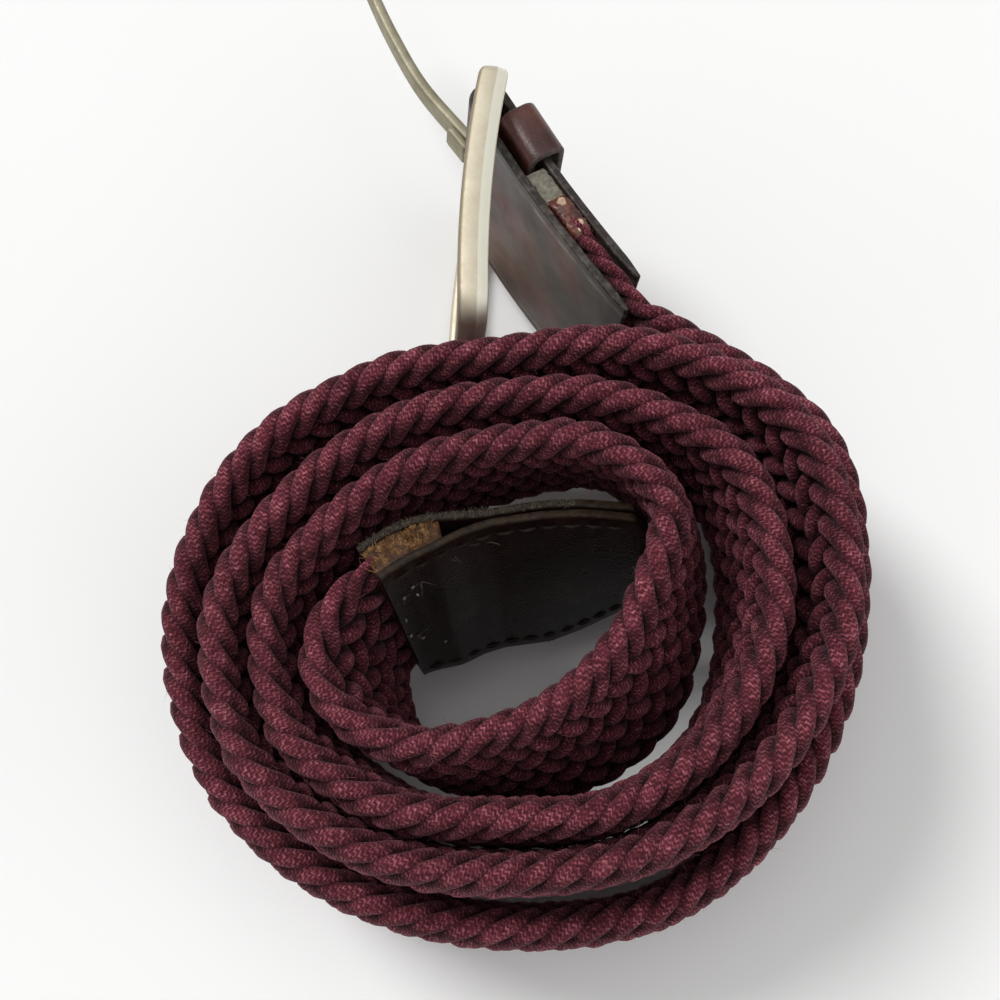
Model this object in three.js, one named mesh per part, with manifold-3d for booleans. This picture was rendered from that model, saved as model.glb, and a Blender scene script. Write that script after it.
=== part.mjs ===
// Braided stretch belt, rolled up and standing on one edge of its strap.
// Millimetres, +Z up. The origin is on the surface, under the middle of the whole belt.
import * as THREE from 'three';
import Module from 'manifold-3d';
import { mergeVertices } from 'three/addons/utils/BufferGeometryUtils.js';

// Strap
const BRAID_WIDTH = 35;
const BRAID_THICKNESS = 5.2;
const PRESSED_THICKNESS = 2.6;
const EDGE_ROUND = 0.42;
const STRAP_STEP = 4.6;
const INNER_LIFT = 13;

// Leather
const LEATHER_WIDTH = 34;
const LEATHER_THICKNESS = 1.3;
const LEATHER_CHAMFER = 0.3;
const FRONT_LEATHER_END = 35;
const BACK_LEATHER_END = 38.5;
const SLOT_HALF_WIDTH = 3.4;
const SLOT_LENGTH = 4.0;
const FOLD_STEPS = 8;

// Buckle bar, frame and prong
const BAR_RADIUS = 1.4;
const RUNNING_GAP = 0.3;
const FRAME_REACH = 36.9;
const FRAME_HALF_WIDTH = 21.9;
const RAIL_WIDTH = 3.2;
const RAIL_DEPTH = 4.3;
const RAIL_HEEL = 3.0;
const FRAME_CORNER = 4.6;
const FRAME_BOW = 0.8;
const FOLDED_BACK = THREE.MathUtils.degToRad(145);
const PRONG_WIDTH = 4.4;
const PRONG_THICKNESS = 1.8;
const CURL_WALL = 1.3;

// Keeper loop, and the packing and strap end between the two leathers
const KEEPER_START = 3.5;
const KEEPER_WIDTH = 8.9;
const KEEPER_ROOM = 1.4;
const KEEPER_THICKNESS = 1.2;
const PACKING_START = 12.8;
const PACKING_END = 19.7;
const STRAP_END = 20.4;

// Bow of the strap end and its leathers towards the front, growing away from the buckle bar
const BILLET_BOW = 2.4;
const BOW_START = 12;
const BOW_END = 40.5;

// Middle of the coil from the origin, and the buckle bar from the middle of the coil
const COIL_MIDDLE = new THREE.Vector3(-1.6, -35.3, -0.02);
const BAR_MIDDLE = new THREE.Vector3(-4.9, 75.3, 21.95);
const BAR_LEAN = new THREE.Vector3(0.1368, 0.0466, 0.9895).normalize();
const BILLET_BEARING = THREE.MathUtils.degToRad(121);

// Tip tab and the root of the strap, from the tip outwards: plan position of the upper and
// lower edge, half the room between the leathers, how much is cut off each edge of the
// leather, and the strap's thickness
const TAB_RUN = [
  { upper: [19.0, 13.4], lower: [18.4, 2.2], room: 0.15, cutUp: 7, cutLow: 13, thick: 0 },
  { upper: [17.0, 13.2], lower: [16.5, 2.0], room: 0.15, cutUp: 3, cutLow: 9, thick: 0 },
  { upper: [14.0, 13.0], lower: [13.6, 1.7], room: 0.15, cutUp: 2, cutLow: 6.5, thick: 0 },
  { upper: [10.0, 12.8], lower: [9.7, 1.3], room: 0.15, cutUp: 1, cutLow: 3.5, thick: 0 },
  { upper: [5.0, 12.4], lower: [4.8, 0.8], room: 0.15, cutUp: 0.5, cutLow: 0.8, thick: 0 },
  { upper: [-2.0, 11.4], lower: [-1.8, 0.1], room: 0.15, cutUp: 0.5, cutLow: 0.5, thick: 0 },
  { upper: [-6.0, 10.6], lower: [-5.4, -0.4], room: 0.7, cutUp: 0.5, cutLow: 0.5, thick: 0 },
  { upper: [-10.0, 9.5], lower: [-9.0, -1.1], room: 1.6, cutUp: 0.5, cutLow: 0.5, thick: 2.4 },
  { upper: [-14.0, 7.7], lower: [-12.7, -1.7], room: 1.9, cutUp: 0.5, cutLow: 0.5, thick: 2.5 },
  { upper: [-17.6, 5.2], lower: [-15.8, -2.9], room: 1.9, cutUp: 0.5, cutLow: 0.5, thick: 2.5 },
  { upper: [-20.6, 2.4], lower: [-17.4, -4.9], room: 0, cutUp: 0, cutLow: 0, thick: 4.2 },
  { upper: [-23.4, -1.2], lower: [-17.7, -7.1], room: 0, cutUp: 0, cutLow: 0, thick: BRAID_THICKNESS },
  { upper: [-24.8, -7.0], lower: [-17.3, -9.6], room: 0, cutUp: 0, cutLow: 0, thick: BRAID_THICKNESS },
  { upper: [-22.3, -12.9], lower: [-16.4, -12.8], room: 0, cutUp: 0, cutLow: 0, thick: BRAID_THICKNESS },
  { upper: [-16.8, -16.8], lower: [-14.4, -16.2], room: 0, cutUp: 0, cutLow: 0, thick: BRAID_THICKNESS },
];
const STRAP_START_ROW = 7;
const TAB_ROOT_ROW = 9;

// Coil, a row for each bearing (deg) from its middle: radius of the strap's upper and lower edge
// on each turn from the inside out, and how far its lower edge stands off the surface
const COIL = [
  { deg: 180, up: [null, 30.6, 37.2, 43.9], low: [null, 30.0, 36.6, 43.3], lift: [13, 13, 13, 8] },
  { deg: 210, up: [null, 32.2, 38.3, 44.5], low: [null, 30.8, 37.3, 44.0], lift: [13, 13, 13, 3.4] },
  { deg: 240, up: [21.0, 29.7, 35.8, 41.9], low: [22.4, 28.6, 34.9, 41.9], lift: [14, 13, 13, 0.7] },
  { deg: 270, up: [16.0, 26.9, 33.9, 40.7], low: [22.2, 27.8, 33.3, 40.7], lift: [15, 13, 13, 0.12] },
  { deg: 300, up: [14.2, 29.5, 35.9, 42.8], low: [23.2, 28.9, 34.7, 42.8], lift: [16, 13, 13, 0.05] },
  { deg: 330, up: [14.4, 32.0, 39.5, 43.9], low: [24.6, 30.3, 36.3, 41.7], lift: [16, 13, 13, 0.25] },
  { deg: 0, up: [17.2, 34.9, 44.0, 46.6], low: [25.4, 31.0, 36.9, 40.7], lift: [16, 13, 13, 0.45] },
  { deg: 30, up: [23.9, 35.6, 45.4, 50.7], low: [28.5, 34.4, 40.3, 46.2], lift: [16, 13, 13, 0.6] },
  { deg: 60, up: [23.3, 31.0, 40.0, 47.0], low: [28.1, 33.6, 39.3, 45.8], lift: [16, 13, 12.5, 2.6] },
  { deg: 90, up: [20.6, 27.9, 34.5, null], low: [23.5, 29.2, 34.9, null], lift: [15, 13, 12, null] },
  { deg: 120, up: [21.4, 28.5, 36.3, null], low: [22.4, 28.5, 35.9, null], lift: [14, 13, 11.5, null] },
  { deg: 150, up: [24.5, 31.4, 40.8, null], low: [24.4, 31.0, 40.2, null], lift: [13.5, 13, 10.5, null] },
];

// Buckle end of the strap: distance from the buckle bar and thickness
const BILLET_RUN = [
  { fromBar: 39.2, thick: 2.9 },
  { fromBar: 36, thick: 2.6 },
  { fromBar: 28, thick: 2.6 },
  { fromBar: STRAP_END, thick: 2.6 },
];

// Prong's bent middle line, away from the bar and towards the front of the strap
const PRONG_BEND = [
  { along: 2.3, across: 0.0, width: 1.0, thick: 1.0 },
  { along: 7.4, across: -0.8, width: 0.95, thick: 1.0 },
  { along: 15.6, across: -1.8, width: 0.85, thick: 1.0 },
  { along: 26.3, across: -1.35, width: 0.8, thick: 1.0 },
  { along: 36.7, across: 0.0, width: 0.75, thick: 0.95 },
  { along: 42.5, across: 0.9, width: 0.7, thick: 0.9 },
  { along: 44.0, across: 1.15, width: 0.45, thick: 0.5 },
];

const wasm = await Module();
wasm.setup();

const material = (color, roughness, metalness) =>
  new THREE.MeshStandardMaterial({ color, roughness, metalness });
const BURGUNDY = material(0x55202c, 0.85, 0);
const LEATHER = material(0x2a1916, 0.42, 0);
const PACKING = material(0x7c7263, 0.9, 0);
const NICKEL = material(0xc9bfa6, 0.34, 1);
const AGED_NICKEL = material(0x9a8f73, 0.4, 1);

// Geometry helpers
function solidGeometry(points, triangles) {
  let volume = 0;
  for (const [a, b, c] of triangles) {
    volume += points[a].dot(points[b].clone().cross(points[c]));
  }
  const flat = triangles.flatMap(([a, b, c]) => (volume > 0 ? [a, b, c] : [a, c, b]));
  const geometry = new THREE.BufferGeometry();
  const numbers = points.flatMap((p) => p.toArray());
  geometry.setAttribute('position', new THREE.Float32BufferAttribute(numbers, 3));
  geometry.setIndex(flat);
  return geometry;
}

function loft(rings) {
  const count = rings[0].length;
  const triangles = [];
  for (let i = 0; i + 1 < rings.length; i += 1) {
    for (let j = 0; j < count; j += 1) {
      const a = i * count + j;
      const b = i * count + ((j + 1) % count);
      triangles.push([a, b, b + count], [a, b + count, a + count]);
    }
  }
  const last = (rings.length - 1) * count;
  for (let j = 1; j + 1 < count; j += 1) {
    triangles.push([0, j + 1, j], [last, last + j, last + j + 1]);
  }
  return solidGeometry(rings.flat(), triangles);
}

// A sheet of cells between two layers of points, with the missing cells left open
function slab(front, back, present) {
  const rows = front.length;
  const columns = front[0].length;
  const half = rows * columns;
  const at = (i, j) => i * columns + j;
  const has = (i, j) => i >= 0 && j >= 0 && i < rows - 1 && j < columns - 1 && present(i, j);
  const triangles = [];
  const quad = (a, b, c, d) => triangles.push([a, b, c], [a, c, d]);
  for (let i = 0; i + 1 < rows; i += 1) {
    for (let j = 0; j + 1 < columns; j += 1) {
      if (!has(i, j)) continue;
      const [p, q, r, s] = [at(i, j), at(i + 1, j), at(i + 1, j + 1), at(i, j + 1)];
      quad(p, q, r, s);
      quad(s + half, r + half, q + half, p + half);
      if (!has(i - 1, j)) quad(s, s + half, p + half, p);
      if (!has(i + 1, j)) quad(q, q + half, r + half, r);
      if (!has(i, j - 1)) quad(p, p + half, q + half, q);
      if (!has(i, j + 1)) quad(r, r + half, s + half, s);
    }
  }
  return solidGeometry([...front.flat(), ...back.flat()], triangles);
}

function toSolid(geometry) {
  const bare = geometry.clone();
  bare.deleteAttribute('normal');
  bare.deleteAttribute('uv');
  const merged = mergeVertices(bare, 1e-4);
  return new wasm.Manifold(new wasm.Mesh({
    numProp: 3,
    vertProperties: new Float32Array(merged.attributes.position.array),
    triVerts: new Uint32Array(merged.index.array),
  }));
}

function joined(first, second) {
  const result = toSolid(first).add(toSolid(second)).getMesh();
  const geometry = new THREE.BufferGeometry();
  geometry.setAttribute('position', new THREE.BufferAttribute(result.vertProperties, 3));
  geometry.setIndex(new THREE.BufferAttribute(result.triVerts, 1));
  return geometry;
}

function mesh(name, geometry, look) {
  geometry.computeVertexNormals();
  const piece = new THREE.Mesh(geometry, look);
  piece.name = name;
  return piece;
}

// Section with round corners, as pairs from -1 to 1 of the half width and half thickness
function roundedSection(halfWidth, halfThickness, radius, cornerSteps) {
  const corners = [[1, 1, 0], [-1, 1, 90], [-1, -1, 180], [1, -1, 270]];
  return corners.flatMap(([sx, sy, start]) => {
    const points = [];
    for (let k = 0; k <= cornerSteps; k += 1) {
      const angle = THREE.MathUtils.degToRad(start + (90 * k) / cornerSteps);
      const x = sx * (halfWidth - radius) + radius * Math.cos(angle);
      const y = sy * (halfThickness - radius) + radius * Math.sin(angle);
      points.push([x, y]);
    }
    return points;
  });
}

// Buckle bar's own axes: along the strap away from the coil, along the bar, out of its front
const barUp = BAR_LEAN.clone();
const barAway = new THREE.Vector3(Math.cos(BILLET_BEARING), Math.sin(BILLET_BEARING), 0);
barAway.addScaledVector(barUp, -barAway.dot(barUp)).normalize();
const barFront = new THREE.Vector3().crossVectors(barAway, barUp);

function billetBow(fromBar) {
  const share = Math.max(0, (fromBar - BOW_START) / (BOW_END - BOW_START));
  return BILLET_BOW * share ** 1.5;
}

// Upper and lower edge of the whole run, from the tip of the tab to the buckle
function widthRise(upperX, upperY, lowerX, lowerY) {
  const lean = Math.hypot(upperX - lowerX, upperY - lowerY);
  return Math.sqrt(BRAID_WIDTH ** 2 - lean ** 2);
}

const stations = TAB_RUN.map(({ upper, lower, ...rest }) => ({
  ...rest,
  upper: new THREE.Vector3(...upper, INNER_LIFT + widthRise(...upper, ...lower)),
  lower: new THREE.Vector3(...lower, INNER_LIFT),
}));
for (let turn = 0; turn < 4; turn += 1) {
  for (const row of COIL) {
    if (row.up[turn] === null) continue;
    const angle = THREE.MathUtils.degToRad(row.deg);
    const lift = row.lift[turn];
    const spoke = new THREE.Vector3(Math.cos(angle), Math.sin(angle), 0);
    const lower = spoke.clone().multiplyScalar(row.low[turn]);
    const upper = spoke.clone().multiplyScalar(row.up[turn]);
    lower.z = lift;
    upper.z = lift + widthRise(upper.x, upper.y, lower.x, lower.y);
    stations.push({ upper, lower, thick: BRAID_THICKNESS });
  }
}
for (const { fromBar, thick } of BILLET_RUN) {
  const centre = BAR_MIDDLE.clone()
    .addScaledVector(barAway, -fromBar)
    .addScaledVector(barFront, billetBow(fromBar));
  const upper = centre.clone().addScaledVector(barUp, BRAID_WIDTH / 2);
  const lower = centre.clone().addScaledVector(barUp, -BRAID_WIDTH / 2);
  stations.push({ upper, lower, thick });
}

const lastStation = stations.length - 1;
const upperEdge = new THREE.CatmullRomCurve3(stations.map((s) => s.upper));
const lowerEdge = new THREE.CatmullRomCurve3(stations.map((s) => s.lower));

function between(column, at) {
  const i = Math.min(Math.floor(at), lastStation - 1);
  return THREE.MathUtils.lerp(stations[i][column], stations[i + 1][column], at - i);
}

function strapFrame(at) {
  const t = at / lastStation;
  const upper = upperEdge.getPoint(t);
  const lower = lowerEdge.getPoint(t);
  const centre = upper.clone().add(lower).multiplyScalar(0.5);
  const before = Math.max(t - 1e-4, 0);
  const after = Math.min(t + 1e-4, 1);
  const tangent = upperEdge.getPoint(after).add(lowerEdge.getPoint(after))
    .sub(upperEdge.getPoint(before)).sub(lowerEdge.getPoint(before)).normalize();
  const width = upper.clone().sub(lower).normalize();
  const outward = new THREE.Vector3().crossVectors(tangent, width).normalize();
  return { centre, width, outward };
}

// Even steps along the run between two stations
function strapSteps(from, to, step) {
  const steps = [from];
  for (let i = from; i < to; i += 1) {
    const length = stations[i].upper.distanceTo(stations[i + 1].upper);
    const count = Math.max(1, Math.round(length / step));
    for (let k = 1; k <= count; k += 1) steps.push(i + k / count);
  }
  return steps;
}

function braidStrap() {
  const rings = strapSteps(STRAP_START_ROW, lastStation, STRAP_STEP).map((at) => {
    const { centre, width, outward } = strapFrame(at);
    const thick = between('thick', at);
    const section = roundedSection(BRAID_WIDTH / 2, thick / 2, thick * EDGE_ROUND, 2);
    return section.map(([x, y]) => centre.clone()
      .addScaledVector(width, x)
      .addScaledVector(outward, y));
  });
  return mesh('braid_strap', loft(rings), BURGUNDY);
}

// One leather of the tip tab, on the inner (-1) or the outer (1) side of the strap's end
function tabLeather(name, side) {
  const rings = strapSteps(0, TAB_ROOT_ROW, STRAP_STEP).map((at) => {
    const { centre, width, outward } = strapFrame(at);
    const high = BRAID_WIDTH / 2 - between('cutUp', at);
    const low = -BRAID_WIDTH / 2 + between('cutLow', at);
    const offset = side * (between('room', at) + LEATHER_THICKNESS / 2);
    const section = roundedSection((high - low) / 2, LEATHER_THICKNESS / 2, LEATHER_CHAMFER, 1);
    return section.map(([x, y]) => centre.clone()
      .addScaledVector(width, (high + low) / 2 + x)
      .addScaledVector(outward, offset + y));
  });
  return mesh(name, loft(rings), LEATHER);
}

// The buckle leather, folded round the bar with an open slot for the prong
function billetLeather() {
  const reach = BAR_RADIUS + RUNNING_GAP + LEATHER_THICKNESS / 2;
  const path = [FRONT_LEATHER_END, 30, 25, 19, 13, SLOT_LENGTH].map((d) => (
    { x: -d, z: reach + billetBow(d), nx: 0, nz: 1 }
  ));
  for (let k = 0; k <= FOLD_STEPS; k += 1) {
    const angle = (Math.PI * k) / FOLD_STEPS;
    const [nx, nz] = [Math.sin(angle), Math.cos(angle)];
    path.push({ x: reach * nx, z: reach * nz, nx, nz });
  }
  for (const d of [SLOT_LENGTH, 13, 19, 25, 31, BACK_LEATHER_END]) {
    path.push({ x: -d, z: -reach + billetBow(d), nx: 0, nz: -1 });
  }
  const columns = [-LEATHER_WIDTH / 2, -SLOT_HALF_WIDTH, SLOT_HALF_WIDTH, LEATHER_WIDTH / 2];
  const layer = (side) => path.map(({ x, z, nx, nz }) => columns.map((y) => new THREE.Vector3(
    x + side * nx * LEATHER_THICKNESS / 2,
    y,
    z + side * nz * LEATHER_THICKNESS / 2,
  )));
  const slotFrom = 5;
  const slotTo = path.length - 6;
  const present = (i, j) => j !== 1 || i < slotFrom || i >= slotTo;
  return mesh('billet_leather', slab(layer(1), layer(-1), present), LEATHER);
}

function billetPacking() {
  const length = PACKING_END - PACKING_START;
  const box = new THREE.BoxGeometry(length, LEATHER_WIDTH - 1, PRESSED_THICKNESS);
  const piece = mesh('billet_packing', box, PACKING);
  const middle = (PACKING_START + PACKING_END) / 2;
  piece.position.set(-middle, 0, billetBow(middle));
  return piece;
}

function roundedPath(target, left, right, bottom, top, radius) {
  target.moveTo(left + radius, bottom);
  target.lineTo(right - radius, bottom);
  target.absarc(right - radius, bottom + radius, radius, -Math.PI / 2, 0, false);
  target.lineTo(right, top - radius);
  target.absarc(right - radius, top - radius, radius, 0, Math.PI / 2, false);
  target.lineTo(left + radius, top);
  target.absarc(left + radius, top - radius, radius, Math.PI / 2, Math.PI, false);
  target.lineTo(left, bottom + radius);
  target.absarc(left + radius, bottom + radius, radius, Math.PI, Math.PI * 1.5, false);
  return target;
}

// The keeper loop: its back runs between the two leathers, its front stands off the strap
function keeperLoop() {
  const side = LEATHER_WIDTH / 2 + 0.2;
  const wall = KEEPER_THICKNESS;
  const frontFace = BAR_RADIUS + RUNNING_GAP + LEATHER_THICKNESS;
  const top = frontFace + KEEPER_ROOM;
  const shape = roundedPath(new THREE.Shape(), -side - wall, side + wall, -wall / 2, top + wall, 1.1);
  shape.holes.push(roundedPath(new THREE.Path(), -side, side, wall / 2, top, 0.5));
  const settings = { depth: KEEPER_WIDTH, bevelEnabled: false, curveSegments: 3 };
  const geometry = new THREE.ExtrudeGeometry(shape, settings);
  const turned = new THREE.Matrix4().makeBasis(
    new THREE.Vector3(0, 1, 0),
    new THREE.Vector3(0, 0, 1),
    new THREE.Vector3(1, 0, 0),
  );
  geometry.applyMatrix4(turned);
  const piece = mesh('keeper_loop', geometry, LEATHER);
  piece.position.x = -KEEPER_START - KEEPER_WIDTH;
  return piece;
}

// The frame: two bowed rails and an end rail in one bend, with the bar across their heels
function buckleFrame() {
  const railY = FRAME_HALF_WIDTH - RAIL_WIDTH / 2;
  const endX = FRAME_REACH - RAIL_WIDTH / 2;
  const bend = FRAME_CORNER - RAIL_WIDTH / 2;
  const line = [
    { x: -RAIL_HEEL, y: railY, dx: 1, dy: 0, size: 0.55 },
    { x: -RAIL_HEEL + 0.5, y: railY, dx: 1, dy: 0, size: 0.88 },
    { x: -RAIL_HEEL + 1.3, y: railY, dx: 1, dy: 0, size: 1 },
  ];
  for (const x of [2, 8, 14, 20, 26]) line.push({ x, y: railY, dx: 1, dy: 0, size: 1 });
  for (let k = 0; k <= 5; k += 1) {
    const angle = Math.PI / 2 - (Math.PI / 2) * (k / 5);
    line.push({
      x: endX - bend + bend * Math.cos(angle),
      y: railY - bend + bend * Math.sin(angle),
      dx: Math.sin(angle),
      dy: -Math.cos(angle),
      size: 1,
    });
  }
  const mirrored = line
    .map(({ x, y, dx, dy, size }) => ({ x, y: -y, dx: -dx, dy, size }))
    .reverse();
  const middle = (FRAME_REACH - RAIL_WIDTH) / 2;
  const rings = [...line, ...mirrored].map(({ x, y, dx, dy, size }) => {
    const bow = FRAME_BOW * (1 - ((x - middle) / middle) ** 2);
    const section = roundedSection(size * RAIL_WIDTH / 2, size * RAIL_DEPTH / 2, size * 1.1, 2);
    return section.map(([a, b]) => new THREE.Vector3(x - a * dy, y + a * dx, bow + b));
  });
  const bar = new THREE.CylinderGeometry(BAR_RADIUS, BAR_RADIUS, 2 * railY, 20);
  return mesh('buckle_frame', joined(loft(rings), bar), NICKEL);
}

function buckleProng() {
  const rings = PRONG_BEND.map(({ along, across, width, thick }, i) => {
    const before = PRONG_BEND[Math.max(i - 1, 0)];
    const after = PRONG_BEND[Math.min(i + 1, PRONG_BEND.length - 1)];
    const step = new THREE.Vector2(after.along - before.along, after.across - before.across);
    const slope = step.normalize();
    const halfWidth = width * PRONG_WIDTH / 2;
    const section = roundedSection(halfWidth, thick * PRONG_THICKNESS / 2, thick * 0.55, 2);
    return section.map(([a, b]) => new THREE.Vector3(
      along - b * slope.y,
      a,
      across + b * slope.x,
    ));
  });
  const curl = new THREE.Shape();
  curl.absarc(0, 0, BAR_RADIUS + RUNNING_GAP + CURL_WALL, 0, Math.PI * 2, false);
  const hole = new THREE.Path();
  hole.absarc(0, 0, BAR_RADIUS + RUNNING_GAP, 0, Math.PI * 2, true);
  curl.holes.push(hole);
  const settings = { depth: PRONG_WIDTH, bevelEnabled: false, curveSegments: 10 };
  const ring = new THREE.ExtrudeGeometry(curl, settings);
  ring.translate(0, 0, -PRONG_WIDTH / 2);
  ring.rotateX(Math.PI / 2);
  return mesh('buckle_prong', joined(loft(rings), ring), AGED_NICKEL);
}

// Everything at the buckle end is placed on the bar
const atBar = new THREE.Group();
atBar.position.copy(BAR_MIDDLE);
atBar.quaternion.setFromRotationMatrix(new THREE.Matrix4().makeBasis(barAway, barUp, barFront));
const foldedFrame = buckleFrame();
foldedFrame.rotation.y = FOLDED_BACK;
atBar.add(billetLeather(), billetPacking(), keeperLoop(), foldedFrame, buckleProng());

const belt = new THREE.Group();
belt.add(
  braidStrap(),
  tabLeather('tab_inner_leather', -1),
  tabLeather('tab_outer_leather', 1),
  atBar,
);
belt.position.copy(COIL_MIDDLE);

export default belt;
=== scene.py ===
import math

import bpy
import numpy as np
from mathutils import Matrix


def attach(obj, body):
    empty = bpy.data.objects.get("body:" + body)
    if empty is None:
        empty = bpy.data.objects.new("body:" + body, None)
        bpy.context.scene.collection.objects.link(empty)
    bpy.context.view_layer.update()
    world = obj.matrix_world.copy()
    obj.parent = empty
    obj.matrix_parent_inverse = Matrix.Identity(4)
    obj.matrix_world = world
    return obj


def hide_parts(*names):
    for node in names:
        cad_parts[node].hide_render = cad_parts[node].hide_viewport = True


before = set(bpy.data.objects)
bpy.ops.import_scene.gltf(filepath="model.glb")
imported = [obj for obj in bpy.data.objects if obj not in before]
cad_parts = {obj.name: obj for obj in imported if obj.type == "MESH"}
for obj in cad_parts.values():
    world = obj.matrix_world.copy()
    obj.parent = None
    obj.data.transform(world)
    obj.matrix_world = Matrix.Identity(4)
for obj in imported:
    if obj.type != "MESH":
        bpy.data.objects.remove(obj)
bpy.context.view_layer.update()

# Lengths below are in millimetres, and go into the scene in metres
MM = 0.001
RANDOM_SEED = 8781

# Strap, as in the solids
BRAID_WIDTH = 35.0
BRAID_THICKNESS = 5.2
INNER_LIFT = 13.0
COIL_MIDDLE = np.array([-1.6, -35.3, -0.02])
BAR_MIDDLE = np.array([-4.9, 75.3, 21.95])
BAR_LEAN = np.array([0.1368, 0.0466, 0.9895])
BILLET_BEARING = math.radians(121)
BILLET_BOW = 2.4
BOW_START = 12.0
BOW_END = 40.5
STRAP_START_ROW = 7
TAB_ROOT_ROW = 9

# Leather, bar, frame, prong, keeper and packing, as in the solids
LEATHER_WIDTH = 34.0
LEATHER_THICKNESS = 1.3
FRONT_LEATHER_END = 35.0
BACK_LEATHER_END = 38.5
SLOT_HALF_WIDTH = 3.4
SLOT_LENGTH = 4.0
BAR_RADIUS = 1.4
RUNNING_GAP = 0.3
FRAME_REACH = 36.9
FRAME_HALF_WIDTH = 21.9
RAIL_WIDTH = 3.2
RAIL_HEEL = 3.0
FRAME_CORNER = 4.6
FRAME_BOW = 0.8
FOLDED_BACK = math.radians(145)
PRONG_WIDTH = 4.4
PRONG_THICKNESS = 1.8
CURL_WALL = 1.3
KEEPER_START = 3.5
KEEPER_WIDTH = 8.9
KEEPER_ROOM = 1.4
KEEPER_THICKNESS = 1.2
PACKING_START = 12.8
PACKING_END = 19.7
STRAP_END = 20.4

# Tip tab and root of the strap, from the tip: upper edge x and y, lower edge x and y
TAB_RUN = [
    (19, 13.4, 18.4, 2.2), (17, 13.2, 16.5, 2), (14, 13, 13.6, 1.7), (10, 12.8, 9.7, 1.3),
    (5, 12.4, 4.8, 0.8), (-2, 11.4, -1.8, 0.1), (-6, 10.6, -5.4, -0.4), (-10, 9.5, -9, -1.1),
    (-14, 7.7, -12.7, -1.7), (-17.6, 5.2, -15.8, -2.9), (-20.6, 2.4, -17.4, -4.9),
    (-23.4, -1.2, -17.7, -7.1), (-24.8, -7, -17.3, -9.6), (-22.3, -12.9, -16.4, -12.8),
    (-16.8, -16.8, -14.4, -16.2),
]

# At these rows: half the room between the leathers, what is cut off their upper and lower
# edges, and the strap's thickness, which is the full one from there to the buckle end
ROOM = [0.15, 0.15, 0.15, 0.15, 0.15, 0.15, 0.7, 1.6, 1.9, 1.9, 0]
CUT_UP = [7, 3, 2, 1, 0.5, 0.5, 0.5, 0.5, 0.5, 0.5, 0]
CUT_LOW = [13, 9, 6.5, 3.5, 0.8, 0.5, 0.5, 0.5, 0.5, 0.5, 0]
TAB_THICK = [0, 0, 0, 0, 0, 0, 0, 2.4, 2.5, 2.5, 4.2]

# Coil: bearing, then the radius of the upper edge, the radius of the lower edge and the
# lift of the lower edge, each for the turns from the inside out
TURNS = 4
COIL = [
    (180, (None, 30.6, 37.2, 43.9), (None, 30.0, 36.6, 43.3), (13, 13, 13, 8)),
    (210, (None, 32.2, 38.3, 44.5), (None, 30.8, 37.3, 44.0), (13, 13, 13, 3.4)),
    (240, (21.0, 29.7, 35.8, 41.9), (22.4, 28.6, 34.9, 41.9), (14, 13, 13, 0.7)),
    (270, (16.0, 26.9, 33.9, 40.7), (22.2, 27.8, 33.3, 40.7), (15, 13, 13, 0.12)),
    (300, (14.2, 29.5, 35.9, 42.8), (23.2, 28.9, 34.7, 42.8), (16, 13, 13, 0.05)),
    (330, (14.4, 32.0, 39.5, 43.9), (24.6, 30.3, 36.3, 41.7), (16, 13, 13, 0.25)),
    (0, (17.2, 34.9, 44.0, 46.6), (25.4, 31.0, 36.9, 40.7), (16, 13, 13, 0.45)),
    (30, (23.9, 35.6, 45.4, 50.7), (28.5, 34.4, 40.3, 46.2), (16, 13, 13, 0.6)),
    (60, (23.3, 31.0, 40.0, 47.0), (28.1, 33.6, 39.3, 45.8), (16, 13, 12.5, 2.6)),
    (90, (20.6, 27.9, 34.5, None), (23.5, 29.2, 34.9, None), (15, 13, 12, None)),
    (120, (21.4, 28.5, 36.3, None), (22.4, 28.5, 35.9, None), (14, 13, 11.5, None)),
    (150, (24.5, 31.4, 40.8, None), (24.4, 31.0, 40.2, None), (13.5, 13, 10.5, None)),
]

# Buckle end of the strap: distance from the bar and thickness, fuller than in the solids
BILLET_RUN = [(39.2, 3.7), (36.0, 3.4), (28.0, 3.3), (STRAP_END, 3.2)]

# Prong: along, across, width and thickness as shares of the full ones
PRONG_BEND = np.array([
    (2.3, 0.0, 1.0, 1.0),
    (7.4, -0.8, 0.95, 1.0),
    (15.6, -1.8, 0.85, 1.0),
    (26.3, -1.35, 0.8, 1.0),
    (36.7, 0.0, 0.75, 0.95),
    (42.5, 0.9, 0.7, 0.9),
    (44.0, 1.15, 0.45, 0.5),
])
PRONG_ROUND = 0.62
CURL_FROM = math.radians(18)
CURL_TO = math.radians(322)
CURL_ROUND = 0.45

# Tail of the prong's curl, under the blade
TAIL_START = (1.85, -1.62)
TAIL_STEPS = np.linspace(0.6, 4.9, 9)
TAIL_SLOPE = 0.10
TAIL_END_SIZE = 0.9

# Section of the frame's rail: sideways and depth, with a wide shallow bevel
RAIL_SECTION = np.array([
    (1.12, -1.95), (1.57, -0.68), (1.6, -0.5), (1.6, 1.45), (1.52, 1.75), (1.3, 2.0),
    (0.95, 2.13), (0.0, 2.15), (-0.9, 2.1), (-1.28, 1.93), (-1.5, 1.65), (-1.6, 1.25),
    (-1.6, -1.3), (-1.5, -1.7), (-1.2, -2.0), (-0.7, -2.13), (0.7, -2.15), (0.97, -2.1),
])
# Bevel points, painted lighter as a highlight
BEVEL_HIGHLIGHT_POINTS = (RAIL_SECTION[:, 0] > 1) & (RAIL_SECTION[:, 1] < -0.6)
# Arris points on the other edge, painted darker as shade
ARRIS_SHADE_POINTS = (RAIL_SECTION[:, 0] > 0.9) & (RAIL_SECTION[:, 1] > 1.6)

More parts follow.
